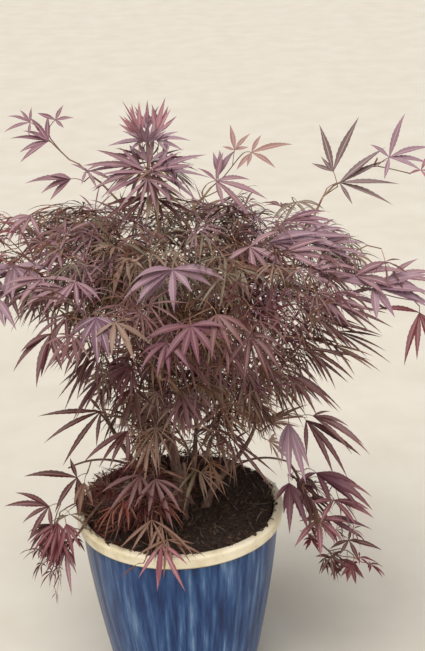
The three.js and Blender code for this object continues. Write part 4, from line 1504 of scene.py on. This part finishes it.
def stalks_mesh(name, lines):
    """The leaves' stalks, as thin rods."""
    count, steps = lines.shape[:2]
    ring = rings(unit(np.gradient(lines, axis=1)), (0.2, 0.5, 0.84), STALK_SIDES)
    points = lines[:, :, None] + ring * STALK_RADIUS
    ring_numbers = np.arange(count)[:, None, None] * steps + np.arange(steps - 1)[None, :, None]
    reds = [(0.4, srgb(126, 72, 70)), (0.62, srgb(172, 134, 104))]
    return mesh_piece(name, points.reshape(-1, 3), [ring_quads(ring_numbers * STALK_SIDES, STALK_SIDES)],
                      [mottled("leaf_stalk", 0.5, (30,), reds)])


stalks = stalks_mesh("leaf_stalks", np.concatenate([stalk_points[kept_leaf], lead_stalks]))


# ---- Floor, light and camera ----
# A plain pale floor under broad soft lamps, seen from standing height a little above the crown.
CAMERA_AT = Vector((0.075, -2.2855, 1.6653))
CAMERA_PITCH = math.radians(21.9)
CAMERA_ROLL = math.radians(-1.9)
FRAME_HIGH = 651
FOCAL_PIXELS = 1348
FLOOR_HALF = 20
LAMP_SPREAD = 50


def floor():
    corners = [(x * FLOOR_HALF, y * FLOOR_HALF, 0) for x, y in ((-1, -1), (1, -1), (1, 1), (-1, 1))]
    mesh = bpy.data.meshes.new("floor")
    mesh.from_pydata(corners, [], [(0, 1, 2, 3)])
    stops = [(0.3, srgb(206, 199, 186)), (0.7, srgb(213, 207, 195))]
    mesh.materials.append(mottled("pale_floor", 0.85, (6, 3), stops))
    plane = bpy.data.objects.new("floor", mesh)
    bpy.context.scene.collection.objects.link(plane)


def sun(name, towards, power, colour):
    """A very soft, even light from a direction."""
    light = bpy.data.lights.new(name, "SUN")
    light.energy, light.angle, light.color = power, math.radians(LAMP_SPREAD), colour
    made = bpy.data.objects.new(name, light)
    made.rotation_euler = Vector(towards).to_track_quat("Z", "Y").to_euler()
    bpy.context.scene.collection.objects.link(made)


def camera():
    data = bpy.data.cameras.new("camera")
    data.sensor_width = 36
    data.lens = FOCAL_PIXELS / FRAME_HIGH * data.sensor_width
    data.clip_end = 100
    ahead = Vector((0, math.cos(CAMERA_PITCH), -math.sin(CAMERA_PITCH)))
    up = Vector((0, math.sin(CAMERA_PITCH), math.cos(CAMERA_PITCH)))
    right = Vector((1, 0, 0))
    level = math.cos(CAMERA_ROLL) * right + math.sin(CAMERA_ROLL) * up
    upright = math.cos(CAMERA_ROLL) * up - math.sin(CAMERA_ROLL) * right
    made = bpy.data.objects.new("camera", data)
    made.matrix_world = Matrix((level, upright, -ahead)).transposed().to_4x4()
    made.location = CAMERA_AT
    bpy.context.scene.collection.objects.link(made)
    bpy.context.scene.camera = made


floor()
sun("high_lamp", (-0.35, -0.6, 1.5), 2.85, (1.0, 0.97, 0.93))
sun("side_lamp", (0.7, -1.4, 0.45), 0.75, (1.0, 0.97, 0.94))
world = bpy.data.worlds.new("studio")
world.use_nodes = True
world.node_tree.nodes["Background"].inputs[0].default_value = (0.96, 0.95, 0.95, 1)
world.node_tree.nodes["Background"].inputs[1].default_value = 0.43
bpy.context.scene.world = world
bpy.context.scene.view_settings.view_transform = "Standard"
camera()
